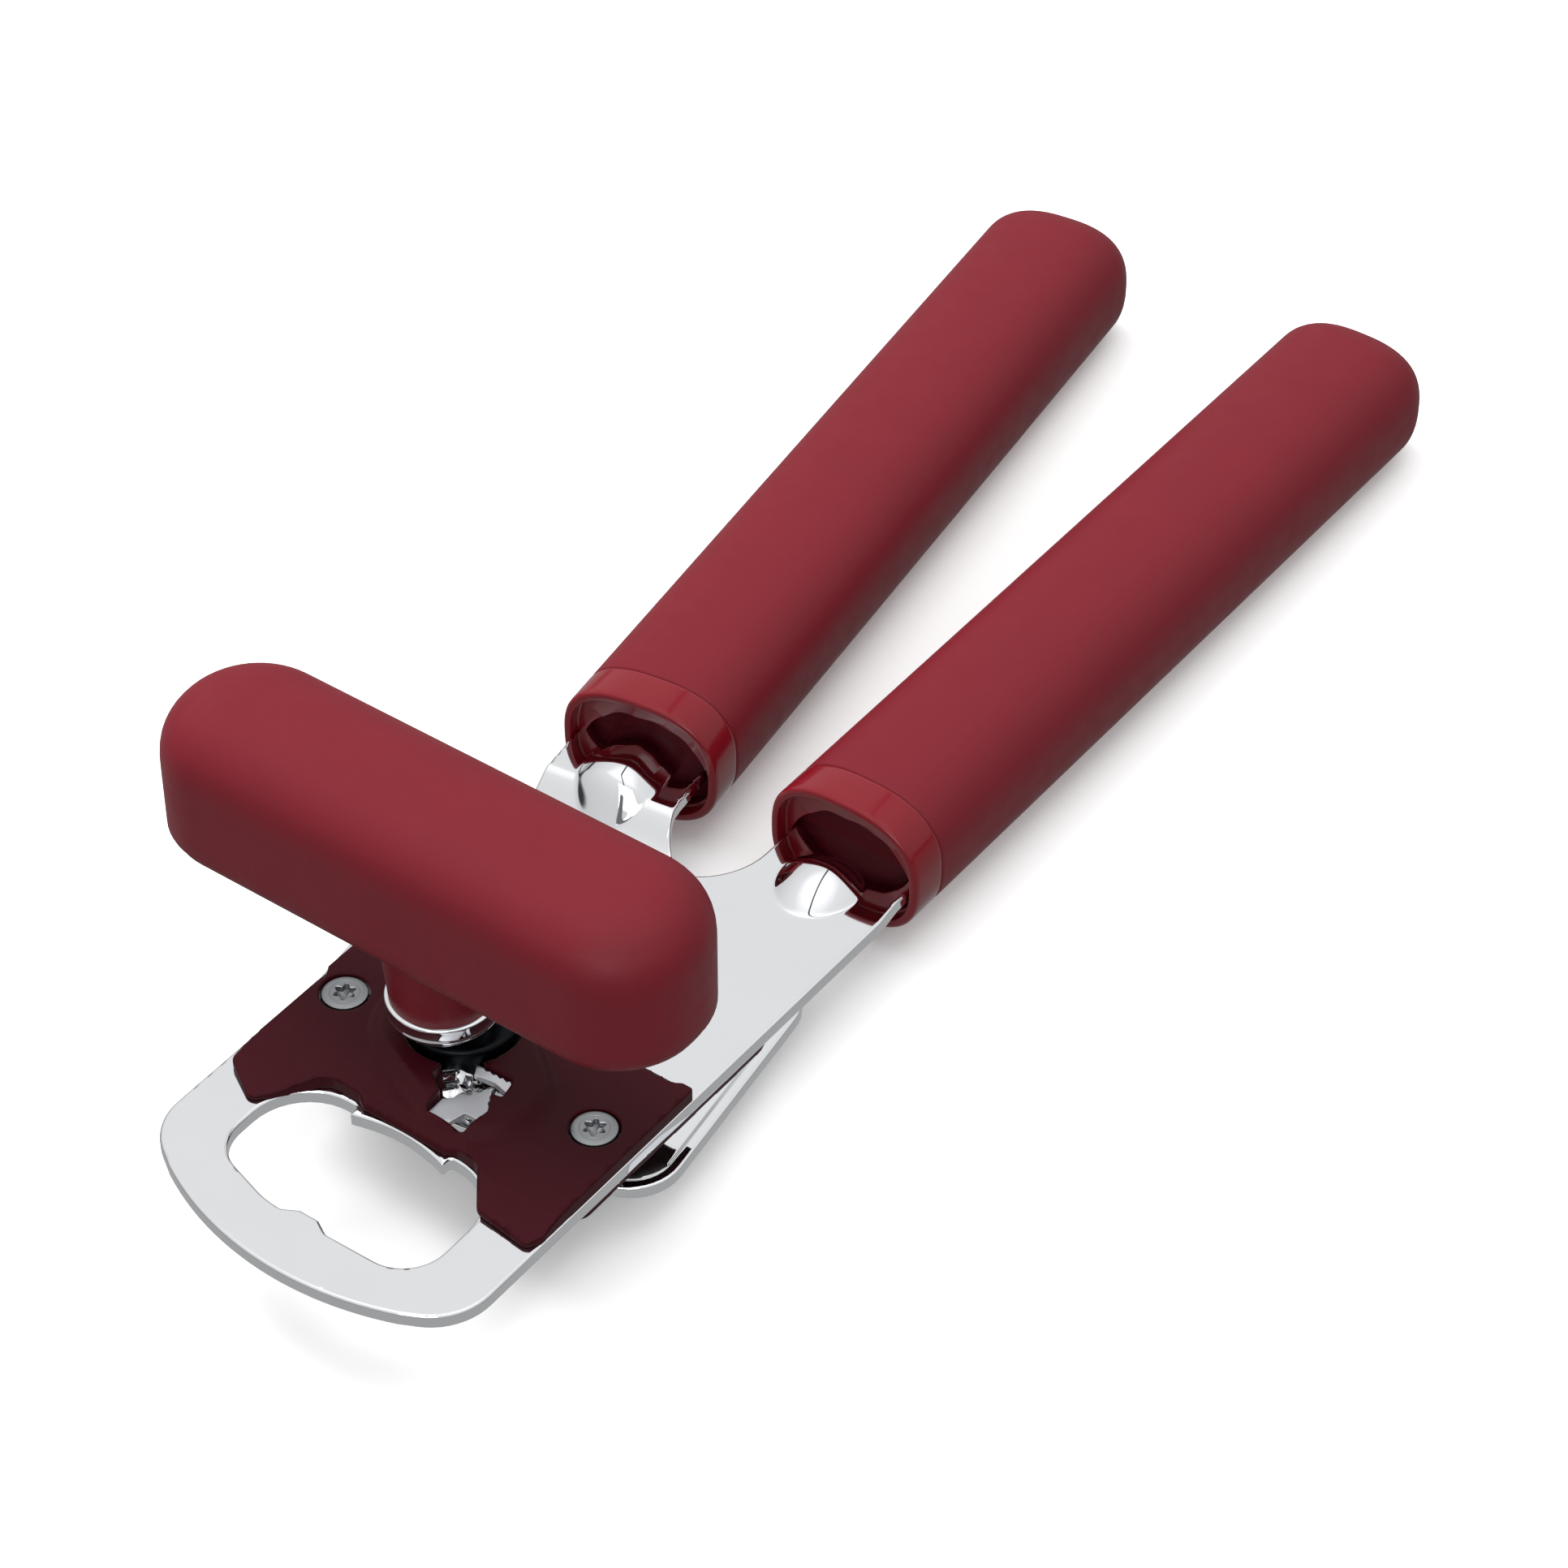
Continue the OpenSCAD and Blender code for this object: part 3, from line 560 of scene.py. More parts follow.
def stand_for(piece: bpy.types.Object, body: str, slot: str, *nodes: str) -> bpy.types.Object:
    """Hangs a finished piece on its body in place of CAD nodes, and reports it."""
    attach(piece, body)
    if nodes:
        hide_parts(*nodes)
    log.info("%s: %d vertices, rides on %s", piece.name, len(piece.data.vertices), body)
    return piece


# ---------------------------------------------------------------- places taken from the frame


def low(node: str) -> Vector:
    """Lowest corner of a CAD node, in millimetres."""
    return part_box(node)[0] / MM


def high(node: str) -> Vector:
    """Highest corner of a CAD node, in millimetres."""
    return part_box(node)[1] / MM


def box_centre(node: str) -> Corner:
    """Middle of a CAD node's box, in millimetres."""
    return tuple((a + b) / 2 for a, b in zip(low(node), high(node)))


def heights(node: str) -> Point:
    """Underside and top of a CAD node, in millimetres."""
    return low(node).z, high(node).z


def radius_of(node: str) -> float:
    """Outer radius of an upright round CAD node, in millimetres."""
    return (high(node).x - low(node).x) / 2


@dataclass
class Datum:
    """The planes, axes and edges that every piece is placed from."""

    deck_z: float = low("head_cover").z
    plate_z: float = high("glide_pad").z
    pad_z: float = low("glide_pad").z
    lever_z: float = low("lower_plate").z
    head_left: float = low("upper_plate").x
    head_right: float = high("upper_plate").x
    head_front: float = -low("upper_plate").y
    collar_y: float = low("right_core").y
    tip_y: float = high("right_grip").y
    handle_w: float = high("right_grip").x - low("right_grip").x
    handle_t: float = high("right_grip").z - low("right_grip").z
    handle_x: float = box_centre("right_grip")[0]
    handle_z: float = box_centre("right_grip")[2]
    pivot: Point = box_centre("bush_keeper")[:2]
    cutter: Point = box_centre("cutting_wheel")[:2]
    tang_offset: float = 0.6
    open_angle: float = 7.8
    handle_gap: float = 2.3
    left_step: float = 1.4
    head_rear: float = 37.0

    @property
    def head_cx(self) -> float:
        """The head's middle line."""
        return (self.head_left + self.head_right) / 2

    @property
    def tang_x(self) -> float:
        """The right tang's middle line."""
        return self.handle_x + self.tang_offset

    @property
    def left_x(self) -> float:
        """The left handle's axis with the handles closed."""
        return self.handle_x - self.handle_w - self.handle_gap

    @property
    def left_tang_x(self) -> float:
        """The left tang's middle line with the handles closed."""
        return self.left_x - self.tang_offset

    @property
    def left_collar_y(self) -> float:
        """The left collar's front with the handles closed."""
        return self.collar_y + self.left_step

    def turned(self, x: float, y: float, degrees: float) -> Point:
        """Turns a point about the lower lever's pivot."""
        a = math.radians(degrees)
        c, s = math.cos(a), math.sin(a)
        dx, dy = x - self.pivot[0], y - self.pivot[1]
        return dx * c - dy * s + self.pivot[0], dx * s + dy * c + self.pivot[1]

    def opened(self, points: Sequence[Sequence[float]]) -> list[Corner]:
        """Turns points of the lower lever from closed to rest."""
        return [(*self.turned(x, y, self.open_angle), z) for x, y, z in points]

    def closed(self, p: Point) -> Point:
        """Takes a point at rest back to the lower lever's closed frame."""
        return self.turned(*p, -self.open_angle)


D = Datum()

# The cover's window round the rim guide: x, y and radius of each corner.
WINDOW: list[Corner] = [
    (6.2, -11.2, 0.5), (6.0, -8.2, 0.5), (3.6, -6.6, 0.5), (3.3, -3.4, 1.2), (6, -1.9, 0), (11.8, -2.0, 1.2),
    (12.4, -5, 0.3), (11, -5.2, 0.3), (12.4, -7.4, 0.5), (12, -11.6, 0.5),
]

# The hole in the plate below it, a little wider, so that no ledge shows there.
PLATE_WINDOW: list[Corner] = [
    (6.0, -11.4, 0.4), (3.2, -6.8, 0.4), (3.0, -3.2, 0.9), (6.0, -1.6, 0), (12.6, -1.7, 0.6), (12.6, -11.7, 0.5),
]


@dataclass
class Dome:
    """The stiffening dome pressed up in a tang, from its long nose to its short tail."""

    x: float
    nose_y: float
    tail_y: float
    half_w: float = 5.3
    height: float = 2.6
    foot: float = 0.12
    fullness: float = 2.1
    nose_stretch: float = 1.25
    tail_stretch: float = 0.78
    grid: float = 0.16

    def rise(self, x: np.ndarray, y: np.ndarray) -> np.ndarray:
        """Height of the dome above the tang, with a soft foot."""
        ahead = np.maximum(self.nose_y + self.half_w * self.nose_stretch - y, 0) / self.nose_stretch
        behind = np.maximum(y - self.tail_y + self.half_w * self.tail_stretch, 0) / self.tail_stretch
        t = np.hypot(x - self.x, ahead + behind) / self.half_w
        crown = self.height * (1 - t ** self.fullness)
        return self.foot * np.logaddexp(0, np.clip(crown / self.foot, -40, 40))

    def box(self, far_y: float) -> tuple[float, float, float, float, float]:
        """Where the sheet needs a finer grid."""
        r = self.half_w * 1.15
        return self.x - r, self.nose_y - 0.8, self.x + r, far_y, self.grid


# ---------------------------------------------------------------- the head


@dataclass
class Head:
    """The head plate with its cover, screws and glide pad."""

    front_r: float = 41.6
    front_shift: float = 1.85
    corner_r: float = 8.0
    mouth_w: float = 31.1
    mouth_d: float = 17.1
    mouth_rear: float = 13.7
    lip_inset: float = 8.9
    lip_w: float = 13.8
    lip_reach: float = 1.4
    tooth_w: float = 6.6
    tooth_h: float = 1.2
    tang_w: float = 17.8
    tang_inside: float = 5.0
    dome_shift: float = 0.3
    dome_reach: float = 11.0
    dome_setback: float = 0.4
    under_dome: float = 0.92
    bore_r: float = 6.4
    cover_t: float = 2.0
    cover_edge_t: float = 0.6
    cover_rear: float = 9.7
    cover_inset: float = 1.4
    wing_front: float = 19.6
    crease_y: float = 14.6
    shelf_w: float = 2.4
    boss_h: float = 1.1
    boss_r: float = 10.0
    boss_tail_r: float = 8.6
    boss_slope: float = 2.2
    bush_head_r: float = 7.2
    screw_inset: float = 5.3
    screw_y: float = -1.8
    screw_hole_r: float = 3.0
    screw_clear_r: float = 1.7
    screw_core_r: float = 1.5
    recess_r: float = 1.12
    lobe_h: float = 0.24
    pad_inset: float = 0.8
    pad_bore_r: float = 6.6
    guide_base: float = 1.2
    guide_top: float = 1.9
    bar_top: float = 2.4
    bar_y: float = -2.2
    bar_slope: float = 0.35

    @property
    def mouth_left(self) -> float:
        """Left side of the mouth."""
        return D.head_cx - self.mouth_w / 2

    @property
    def mouth_right(self) -> float:
        """Right side of the mouth."""
        return D.head_cx + self.mouth_w / 2

    @property
    def mouth_front(self) -> float:
        """Distance of the mouth's front edge from the crank axis."""
        return self.mouth_rear + self.mouth_d

    @property
    def lip(self) -> tuple[float, float]:
        """Left and right ends of the cap lip."""
        left = self.mouth_left + self.lip_inset
        return left, left + self.lip_w

    def plate_outline(self) -> list[Point]:
        """The head plate's outline, as far as it shows."""
        cx = D.head_cx + self.front_shift
        cy = self.front_r - D.head_front
        a = math.degrees(math.asin((cx - D.head_left) / self.front_r))
        b = math.degrees(math.asin((D.head_right - cx) / self.front_r))
        left_y = cy - self.front_r * math.cos(math.radians(a))
        right_y = cy - self.front_r * math.cos(math.radians(b))
        side = D.tang_x + self.tang_w / 2
        inner = D.tang_x - self.tang_w / 2
        return rounded([
            (D.head_left, left_y, self.corner_r),
            *arc((cx, cy), self.front_r, 280 - a, 260 + b, 24),
            (D.head_right, right_y, self.corner_r),
            (D.head_right, D.collar_y - 6, 0), (side, D.collar_y - 2, 0),
            (side, D.collar_y + self.tang_inside, 0), (inner, D.collar_y + self.tang_inside, 0),
            (inner, D.head_rear + 3, 10), (D.head_left + 12, D.head_rear - 1, 10),
            (D.head_left, D.head_rear - 16, 14),
        ])

    def mouth(self) -> list[Point]:
        """The mouth's outline, with the cap lip behind and the tooth in front."""
        left, right = self.lip
        rear, front = -self.mouth_rear, -self.mouth_front
        tip = rear - self.lip_reach
        dip = [(left + self.lip_w * k / 10, tip + (self.lip_reach - 0.25) * math.sin(math.pi * k / 10), 0.0)
               for k in range(1, 10)]
        half = self.tooth_w / 2
        return rounded([
            (self.mouth_left, rear, 7.5), (left, rear, 0.4), (left + 0.15, tip, 0.25), *dip,
            (right - 0.15, tip, 0.25), (right, rear, 0.4), (self.mouth_right, rear, 7.5),
            (self.mouth_right, front + 0.3, 5.5), (D.head_cx + half, front + 0.1, 1.2),
            (D.head_cx + half * 0.4, front + self.tooth_h, 0.7), (D.head_cx - half * 0.4, front + self.tooth_h, 0.7),
            (D.head_cx - half, front + 0.1, 1.2), (D.head_cx - 6, front + 0.3, 12),
            (self.mouth_left, front + 3.2, 5.5),
        ])

    def build_plate(self) -> bpy.types.Object:
        """Presses the head plate with its dome, mouth, window, pivot bore and screw holes."""
        dome = Dome(D.tang_x - self.dome_shift, D.collar_y - self.dome_reach, D.collar_y - self.dome_setback)
        sheet = Pressing(
            self.plate_outline(),
            [self.mouth(), rounded(PLATE_WINDOW), circle(D.pivot, self.bore_r)]
            + [circle(p, self.screw_clear_r, 24) for p in self.screw_places()],
            lambda x, y: D.deck_z + dome.rise(x, y),
            lambda x, y: D.plate_z + dome.rise(x, y) * self.under_dome,
            edge_r=0.45, spacing=1.2, fine=[dome.box(D.collar_y + 2.0)],
        )
        points, faces, normals = sheet.shell()
        return new_piece("head_plate", points, faces, CHROME, normals=normals)

    def build_rim_guide(self) -> bpy.types.Object:
        """The rim guide in the window: a flat with lanced teeth, a bar behind it, and a curled ear at the left."""
        top, base = D.deck_z + self.guide_top, level(D.deck_z + self.guide_base)
        flat = Pressing(
            rounded([
                (6.4, -11.0, 0.3), (9.4, -11.0, 0.1), (9.95, -8.7, 0.1), (11.9, -8.6, 0.2), (11.9, -6.9, 0.3),
                (10.5, -4.7, 0.4), (10.2, -3.6, 0.1), (9.6, -3.7, 0), (9.0, -5.3, 0), (8.6, -4.5, 0),
                (8.1, -6.3, 0), (7.7, -5.6, 0), (7.3, -7.6, 0.2), (6.4, -8.4, 0.2),
            ]),
            [], level(top), base, edge_r=0.12, spacing=1.0,
        )
        bar = Pressing(
            rounded([(6.4, -2.2, 0.1), (11.4, -2.1, 0.5), (12.1, -2.9, 0.4), (11.9, -3.5, 0.1), (9.7, -3.1, 0.1),
                     (7.0, -3.4, 0.1)]),
            [], lambda x, y: D.deck_z + self.bar_top + (y - self.bar_y) * self.bar_slope, base,
            edge_r=0.12, spacing=1.0,
        )
        step = Pressing(
            rounded([(10.5, -3.8, 0.1), (11.8, -3.9, 0.1), (12.1, -4.9, 0.1), (10.9, -4.9, 0.1)]),
            [], level(top), base, edge_r=0.1, spacing=0.8,
        )

        def curl(x: np.ndarray, y: np.ndarray) -> np.ndarray:
            """The ear's top: rolled down towards the flat, with the puckers that the press left."""
            dx, dy = x - 5.2, y + 4.9
            across, along = dx * 0.8 + dy * 0.6, dy * 0.8 - dx * 0.6
            return top - 0.22 * across ** 2 + 0.16 * np.sin(along * 2.3) + 0.1 * np.sin(across * 3.1)

        ear = Pressing(
            rounded([(3.4, -6.3, 0.4), (3.3, -3.4, 0.8), (5.9, -2.2, 0.5), (7.0, -3.8, 0.2), (7.7, -5.9, 0.2),
                     (7.2, -7.9, 0.2), (6.0, -8.0, 0.3)]),
            [], curl, lambda x, y: curl(x, y) - 0.6, edge_r=0.15, spacing=0.6,
        )
        points, faces, normals = merged_shells(flat, bar, step, ear)
        guide = new_piece("rim_guide_tab", points, faces, SATIN_NICKEL, normals=normals)
        guide.data.materials.append(material_of(CHROME))
        for face in guide.data.polygons:
            x, y, _ = face.center / MM
            face.material_index = int(bool(inside(np.array([(x, y)]), ear.outline)[0]))
        return guide

    def screw_places(self) -> list[Point]:
        """Where the two screws stand."""
        return [(x, self.screw_y) for x in (D.head_left + self.screw_inset, D.head_right - self.screw_inset)]

    def cover_outline(self) -> list[Point]:
        """The cover's outline: straight behind, wings in front, the lip's shelf between them."""
        left, right = self.lip
        rear = -self.mouth_rear
        return rounded([
            (D.head_right, self.cover_rear, 0.5), (D.head_right - 1.6, self.cover_rear, 0.6),
            (D.head_right - 2.4, self.cover_rear - 0.5, 0.6), (D.head_left + 3.6, self.cover_rear - 0.5, 0.6),
            (D.head_left + self.cover_inset - 0.5, self.cover_rear - 0.5, 0.6),
            (D.head_left + self.cover_inset - 0.5, 0.4, 0.5), (D.head_left + self.cover_inset, -0.4, 0.5),
            (D.head_left + self.cover_inset, -self.wing_front + 2.4, 1.0),
            (D.head_left + 6.6, -self.wing_front - 0.8, 1.2), (self.mouth_left + 0.8, rear - 4.6, 2.5),
            (self.mouth_left + 4.6, rear + 0.5, 1.6), (left + 0.2, rear + 0.4, 0.5), (left + 1.2, rear - 0.2, 0.5),
            (right - 0.8, rear - 0.2, 0.5), (right + 0.6, rear + 0.4, 0.5),
            (self.mouth_right - 4.4, rear - 0.1, 2), (self.mouth_right - 0.6, rear - 5, 1.5),
            (D.head_right - 1.2, -self.wing_front, 1), (D.head_right, -self.wing_front + 2, 0.8),
        ])

    def cover_top(self, x: np.ndarray, y: np.ndarray) -> np.ndarray:
        """Height of the cover: a flat deck, a fall along the front, and a boss round the crank and window."""
        deck = D.deck_z + self.cover_t
        left, right = self.lip
        shelf = smooth((x - left + 1.6) / 3.0) * (1 - smooth((x - right - 0.4) / 3.0))
        crease = self.crease_y - self.shelf_w * shelf
        run = (self.wing_front + 0.8 - self.crease_y) * (1 - shelf) + (self.shelf_w - 0.2) * shelf
        t = (-crease - y) / run
        fall = (self.cover_t - self.cover_edge_t) * np.clip(t, 0, 1.1) * smooth(t * 10)
        a, b = np.array([0.3, 1.0]), np.array([D.head_cx + 4.6, -4.4])
        ab = b - a
        p = np.column_stack([x, y])
        s = np.clip(((p - a) @ ab) / (ab @ ab), 0, 1)
        off = np.hypot(*(p - a - s[:, None] * ab).T) - (self.boss_r * (1 - s) + self.boss_tail_r * s)
        return deck - fall + self.boss_h * smooth(-off / self.boss_slope) * (1 - smooth(t * 2.5 + 0.5))

    def build_cover(self) -> bpy.types.Object:
        """Moulds the cover."""
        x0, x1 = D.head_left + 0.5, D.head_right
        sheet = Pressing(
            self.cover_outline(),
            [rounded(WINDOW, 5), circle(D.pivot, self.bush_head_r)]
            + [circle(p, self.screw_hole_r, 36) for p in self.screw_places()],
            self.cover_top, level(D.deck_z), edge_r=0.3, spacing=1.6,
            fine=[(x0, -self.crease_y - 1.4, x1, -self.crease_y + 1.4, 0.45), (-11, -13.2, 18, 11.5, 0.55)],
        )
        points, faces, normals = sheet.shell()
        return new_piece("head_cover_shell", points, faces, COVER_ABS, normals=normals)

    def build_pad(self) -> bpy.types.Object:
        """Moulds the glide pad under the plate."""
        left, right = D.head_left + self.pad_inset, D.head_right - self.pad_inset
        front = -low("glide_pad").y
        sheet = Pressing(
            rounded([(left, -front, 2), (5, -front, 0), (2.2, -8, 1), (2.2, -3.6, 0), (6, -1, 0.5), (13.4, -1.4, 1.5),
                     (14, -front, 0), (right, -front, 2), (right, D.head_rear - 8, 5), (left, D.head_rear - 18, 6)]),
            [circle(D.pivot, self.pad_bore_r)] + [circle(p, self.screw_core_r, 24) for p in self.screw_places()],
            level(D.plate_z), level(D.pad_z), edge_r=0.3, spacing=4.0,
        )
        points, faces, normals = sheet.shell()
        return new_piece("glide_pad_moulding", points, faces, COVER_ABS, normals=normals)

    def build_screws(self) -> bpy.types.Object:
        """Heads and cuts the two screws."""
        top = D.deck_z + self.cover_t
        core = self.screw_core_r

        def lobe(a: float) -> float:
            """Radius of the six-lobe recess at an angle."""
            return self.recess_r + self.lobe_h * math.cos(6 * a)

        profile = [
            (D.pad_z + 0.4, 1.2), (D.pad_z + 0.8, core), (top - 1.0, core), (top - 1.0, 2.55), (top - 0.9, 2.75),
            (top - 0.45, 2.75), (top - 0.2, 2.68), (top - 0.06, 2.45), (top, 2.1), (top, 1.85), (top - 0.04, 1.8),
            (top - 0.04, 1.75), (top, 1.7), (top, lambda a: lobe(a) + 0.12), (top - 0.1, lobe), (top - 0.85, lobe),
            (top - 1.0, lambda a: lobe(a) * 0.5),
        ]
        points, faces = merged(*[loft(polar_rings(profile, p)) for p in self.screw_places()])
        return new_piece("cover_screw_pair", points, faces, ZINC, 30)

    def dress(self) -> None:
        """Builds the head's pieces and hangs them on the frame body."""
        plate = stand_for(self.build_plate(), "frame", "chrome_steel", "upper_plate")
        plate.visible_glossy = False
        stand_for(self.build_rim_guide(), "frame", "chrome_steel")
        stand_for(self.build_cover(), "frame", "cover_plastic", "head_cover")
        pad = stand_for(self.build_pad(), "frame", "cover_plastic", "glide_pad")
        pad.visible_glossy = False
        stand_for(self.build_screws(), "frame", "zinc_steel", "cover_screws")


# ---------------------------------------------------------------- the lower lever


@dataclass
class LowerLever:
    """The lever plate that turns under the head."""

    thickness: float = 1.8
    margin: float = 2.65
    front: float = 7.0
    tang_w: float = 17.8
    tang_inside: float = 5.0
    tang_drop: float = 1.2
    joggle_reach: float = 11.1
    joggle_run: float = 5.5
    dome_shift: float = 0.3
    dome_tail: float = 9.0
    under_dome: float = 0.9
    bore_r: float = 6.5
    rim_w: float = 1.1
    dish: float = 0.45
    dish_rows: tuple[float, ...] = (1.0, 1.2, 1.4, 1.6, 1.8, 2.0)

    def outline(self) -> list[Point]:
        """The lever's outline with the handles closed."""
        left, right = D.head_left - self.margin, D.head_right + self.margin
        a, b = D.left_tang_x - self.tang_w / 2, D.left_tang_x + self.tang_w / 2
        end = D.left_collar_y + self.tang_inside
        rear = D.head_rear
        nip = [D.closed(p) for p in ((8.0, -12.0), (9.0, -2.4), (16.0, -2.4), (17.0, -12.0))]
        slope = [(x, -self.front, r) for x, r in ((nip[0][0] + 1.0, 0.6), (nip[3][0] - 1.0, 0.6))]
        return rounded([
            (left, -1.5, 6), (D.pivot[0] - 10, -self.front, 6), slope[0], (nip[1][0], nip[1][1], 1.5),
            (nip[2][0], nip[2][1], 1.5), slope[1], (right, -self.front, 6.5), (right, rear - 6, 6),
            (b + 6, rear + 2, 8), (b, rear + 9, 8), (b, end, 0), (a, end, 0), (a, rear + 8, 14), (left, rear - 8, 14),
        ])

    def build(self) -> bpy.types.Object:
        """Presses the lever: dished head, step up to the tang, and the tang's dome."""
        tang_z = D.handle_z - self.tang_drop - self.thickness / 2
        start = D.left_collar_y - self.joggle_reach
        dome = Dome(D.left_tang_x + self.dome_shift, start + 1.0, D.left_collar_y + self.dome_tail)
        outline = self.outline()

        def step(x: np.ndarray, y: np.ndarray) -> np.ndarray:
            """Height of the lever's underside along its length, before the dome."""
            return D.lever_z + (tang_z - D.lever_z) * smooth((y - start) / self.joggle_run)

        def top(x: np.ndarray, y: np.ndarray) -> np.ndarray:
            """Upper side, dished inside a polished rim."""
            depth = rim_distance(np.column_stack([x, y]), [outline])
            dish = self.dish * smooth((depth - self.rim_w) / 0.8) * (1 - smooth((y - start + 8) / 6))
            return step(x, y) + self.thickness - dish + dome.rise(x, y)

        def under(x: np.ndarray, y: np.ndarray) -> np.ndarray:
            """Underside, with the hollow of the dome."""
            return step(x, y) + dome.rise(x, y) * self.under_dome

        joggle = (dome.x - 12, start - 1, dome.x + 12, D.left_collar_y + self.tang_inside, 0.4)
        sheet = Pressing(outline, [circle(D.closed(D.pivot), self.bore_r)], top, under, spacing=1.6,
                         rows=self.dish_rows, fine=[joggle, dome.box(D.left_collar_y + 2.0)])
        points, faces, normals = sheet.shell()
        a = math.radians(D.open_angle)
        turn = np.array([[math.cos(a), math.sin(a), 0], [-math.sin(a), math.cos(a), 0], [0, 0, 1]])
        return new_piece("lever_plate", D.opened(points), faces, CHROME, normals=normals @ turn)

    def dress(self) -> None:
        """Builds the lever and hangs it on its body."""
        stand_for(self.build(), "lever", "chrome_steel", "lower_plate")


# ---------------------------------------------------------------- handles


class Side(Enum):
    """Which handle: the right one is fixed to the head plate, the left one to the lower lever."""

    RIGHT = "right"
    LEFT = "left"


@dataclass
class Handle:
    """A glossy collar and core inside a soft grip."""

    side: Side
    band_w: float = 5.5
    tip_r: float = 7.0
    edge_r: float = 0.6
    rim_w: float = 1.1
    rim_depth: float = 1.8
    hollow: float = 1.5
    brow_w: float = 3.0
    brow_foot: float = -2.5
    brow_blend: float = 6.0
    brow_wave: float = 0.12
    wave_rate: float = 1.4

    @property
    def length(self) -> float:
        """From collar to tip."""
        return D.tip_y - D.collar_y

    def placed(self, points: Sequence[Sequence[float]]) -> list[tuple[float, float, float]]:
        """Lays a handle drawn along +Z, with its section in X and Y, into the part's frame."""
        right = self.side is Side.RIGHT
        x0, y0 = (D.handle_x, D.collar_y) if right else (D.left_x, D.left_collar_y)
        laid = [(x0 + x, y0 + z, D.handle_z + y) for x, y, z in points]
        return laid if right else D.opened(laid)

    def ring(self, z: float, inset: float) -> list[tuple[float, float, float]]:
        """The handle's section at a distance from the collar, drawn in by an inset."""
        return [(x, y, z) for x, y in oval(D.handle_w / 2 - inset, D.handle_t / 2 - inset)][::-1]

    def browed(self, z: float, inset: float) -> list[tuple[float, float, float]]:
        """A section drawn in by an inset over the tang, and hardly at all beside and below it."""
        wide, narrow = self.ring(z, self.rim_w + 0.3), self.ring(z, inset)
        share = [float(smooth((n[1] - self.brow_foot) / self.brow_blend)) for n in narrow]
        wave = [self.brow_wave * math.sin(n[0] * self.wave_rate) * t for n, t in zip(narrow, share)]
        return [(a[0] + (b[0] - a[0]) * t, a[1] + (b[1] - a[1]) * t + h, z)
                for a, b, t, h in zip(wide, narrow, share, wave)]

    def build_grip(self) -> bpy.types.Object:
        """The soft grip, with a rounded tip and a small radius where it meets the collar."""
        start, end, r = self.band_w, self.length, self.tip_r
        rings = [self.ring(start + 0.02, 1.2), self.ring(start + 0.02, 0.35), self.ring(start + 0.1, 0.12),
                 self.ring(start + 0.3, 0.02)]
        rings += [self.ring(start + 0.6 + (end - r - start - 0.6) * k / 24, 0.0) for k in range(25)]
        for k in range(1, 19):
            a = math.pi / 2 * k / 18
            rings.append(self.ring(end - r + r * math.sin(a), r * (1 - math.cos(a))))
        rings += [self.ring(end, r + 0.8 * k) for k in (1.0, 1.9)]
        points, faces = loft(rings)
        return new_piece(self.side.value + "_soft_grip", self.placed(points), faces, SOFT_TOUCH, 60)

    def build_core(self) -> bpy.types.Object:
        """The glossy core: collar band, rounded rim, and the hollow wall that the tang goes through."""
        band, w = self.band_w, self.rim_w
        rings = [self.ring(band + 1.0, 1.9), self.ring(band - 0.02, 0.5), self.ring(band - 0.02, 0.12),
                 self.ring(band - 0.15, 0.04), self.ring(band - 0.5, 0.0), self.ring(1.0, 0.0)]
        for k in range(1, 7):
            a = math.pi / 2 * k / 6
            rings.append(self.ring(self.edge_r * (1 - math.sin(a)), self.edge_r * (1 - math.cos(a)) * 0.8))
        rings += [self.ring(0.0, w - 0.25), self.ring(0.06, w - 0.08), self.ring(0.25, w),
                  self.ring(self.rim_depth - 0.15, w + 0.05), self.ring(self.rim_depth, w + 0.2)]
        brow = w + self.brow_w
        deep = self.rim_depth + self.hollow
        hollow = [self.browed(self.rim_depth, brow - 0.15), self.browed(self.rim_depth + 0.1, brow),
                  self.browed(deep - 0.05, brow + 0.1), self.browed(deep, brow + 0.25), self.ring(deep, w + 7.4)]
        points, faces = loft(rings + hollow, closed=False)
        n = len(rings[0])
        faces += [list(range(n))[::-1], [len(points) - n + k for k in range(n)]]
        core = new_piece(self.side.value + "_gloss_core", self.placed(points), faces, CORE_GLOSS, 35)
        # Faces deep in the hollow get the duller finish and the darker red, which is painted shade of the recess.
        core.data.materials.append(material_of(CORE_HOLLOW_SHADED))
        depths = [sum(points[i][2] for i in face) / len(face) for face in faces]
        glossy_to = self.rim_depth + 0.06
        for k, face in enumerate(core.data.polygons):
            face.material_index = int(depths[k] > glossy_to and min(faces[k]) >= n * len(rings))
        return core

    def dress(self) -> None:
        """Builds the handle and hangs it on its body."""
        body = "frame" if self.side is Side.RIGHT else "lever"
        stand_for(self.build_grip(), body, "soft_grip", self.side.value + "_grip")
        stand_for(self.build_core(), body, "gloss_core", self.side.value + "_core")


# ---------------------------------------------------------------- the crank and its knob


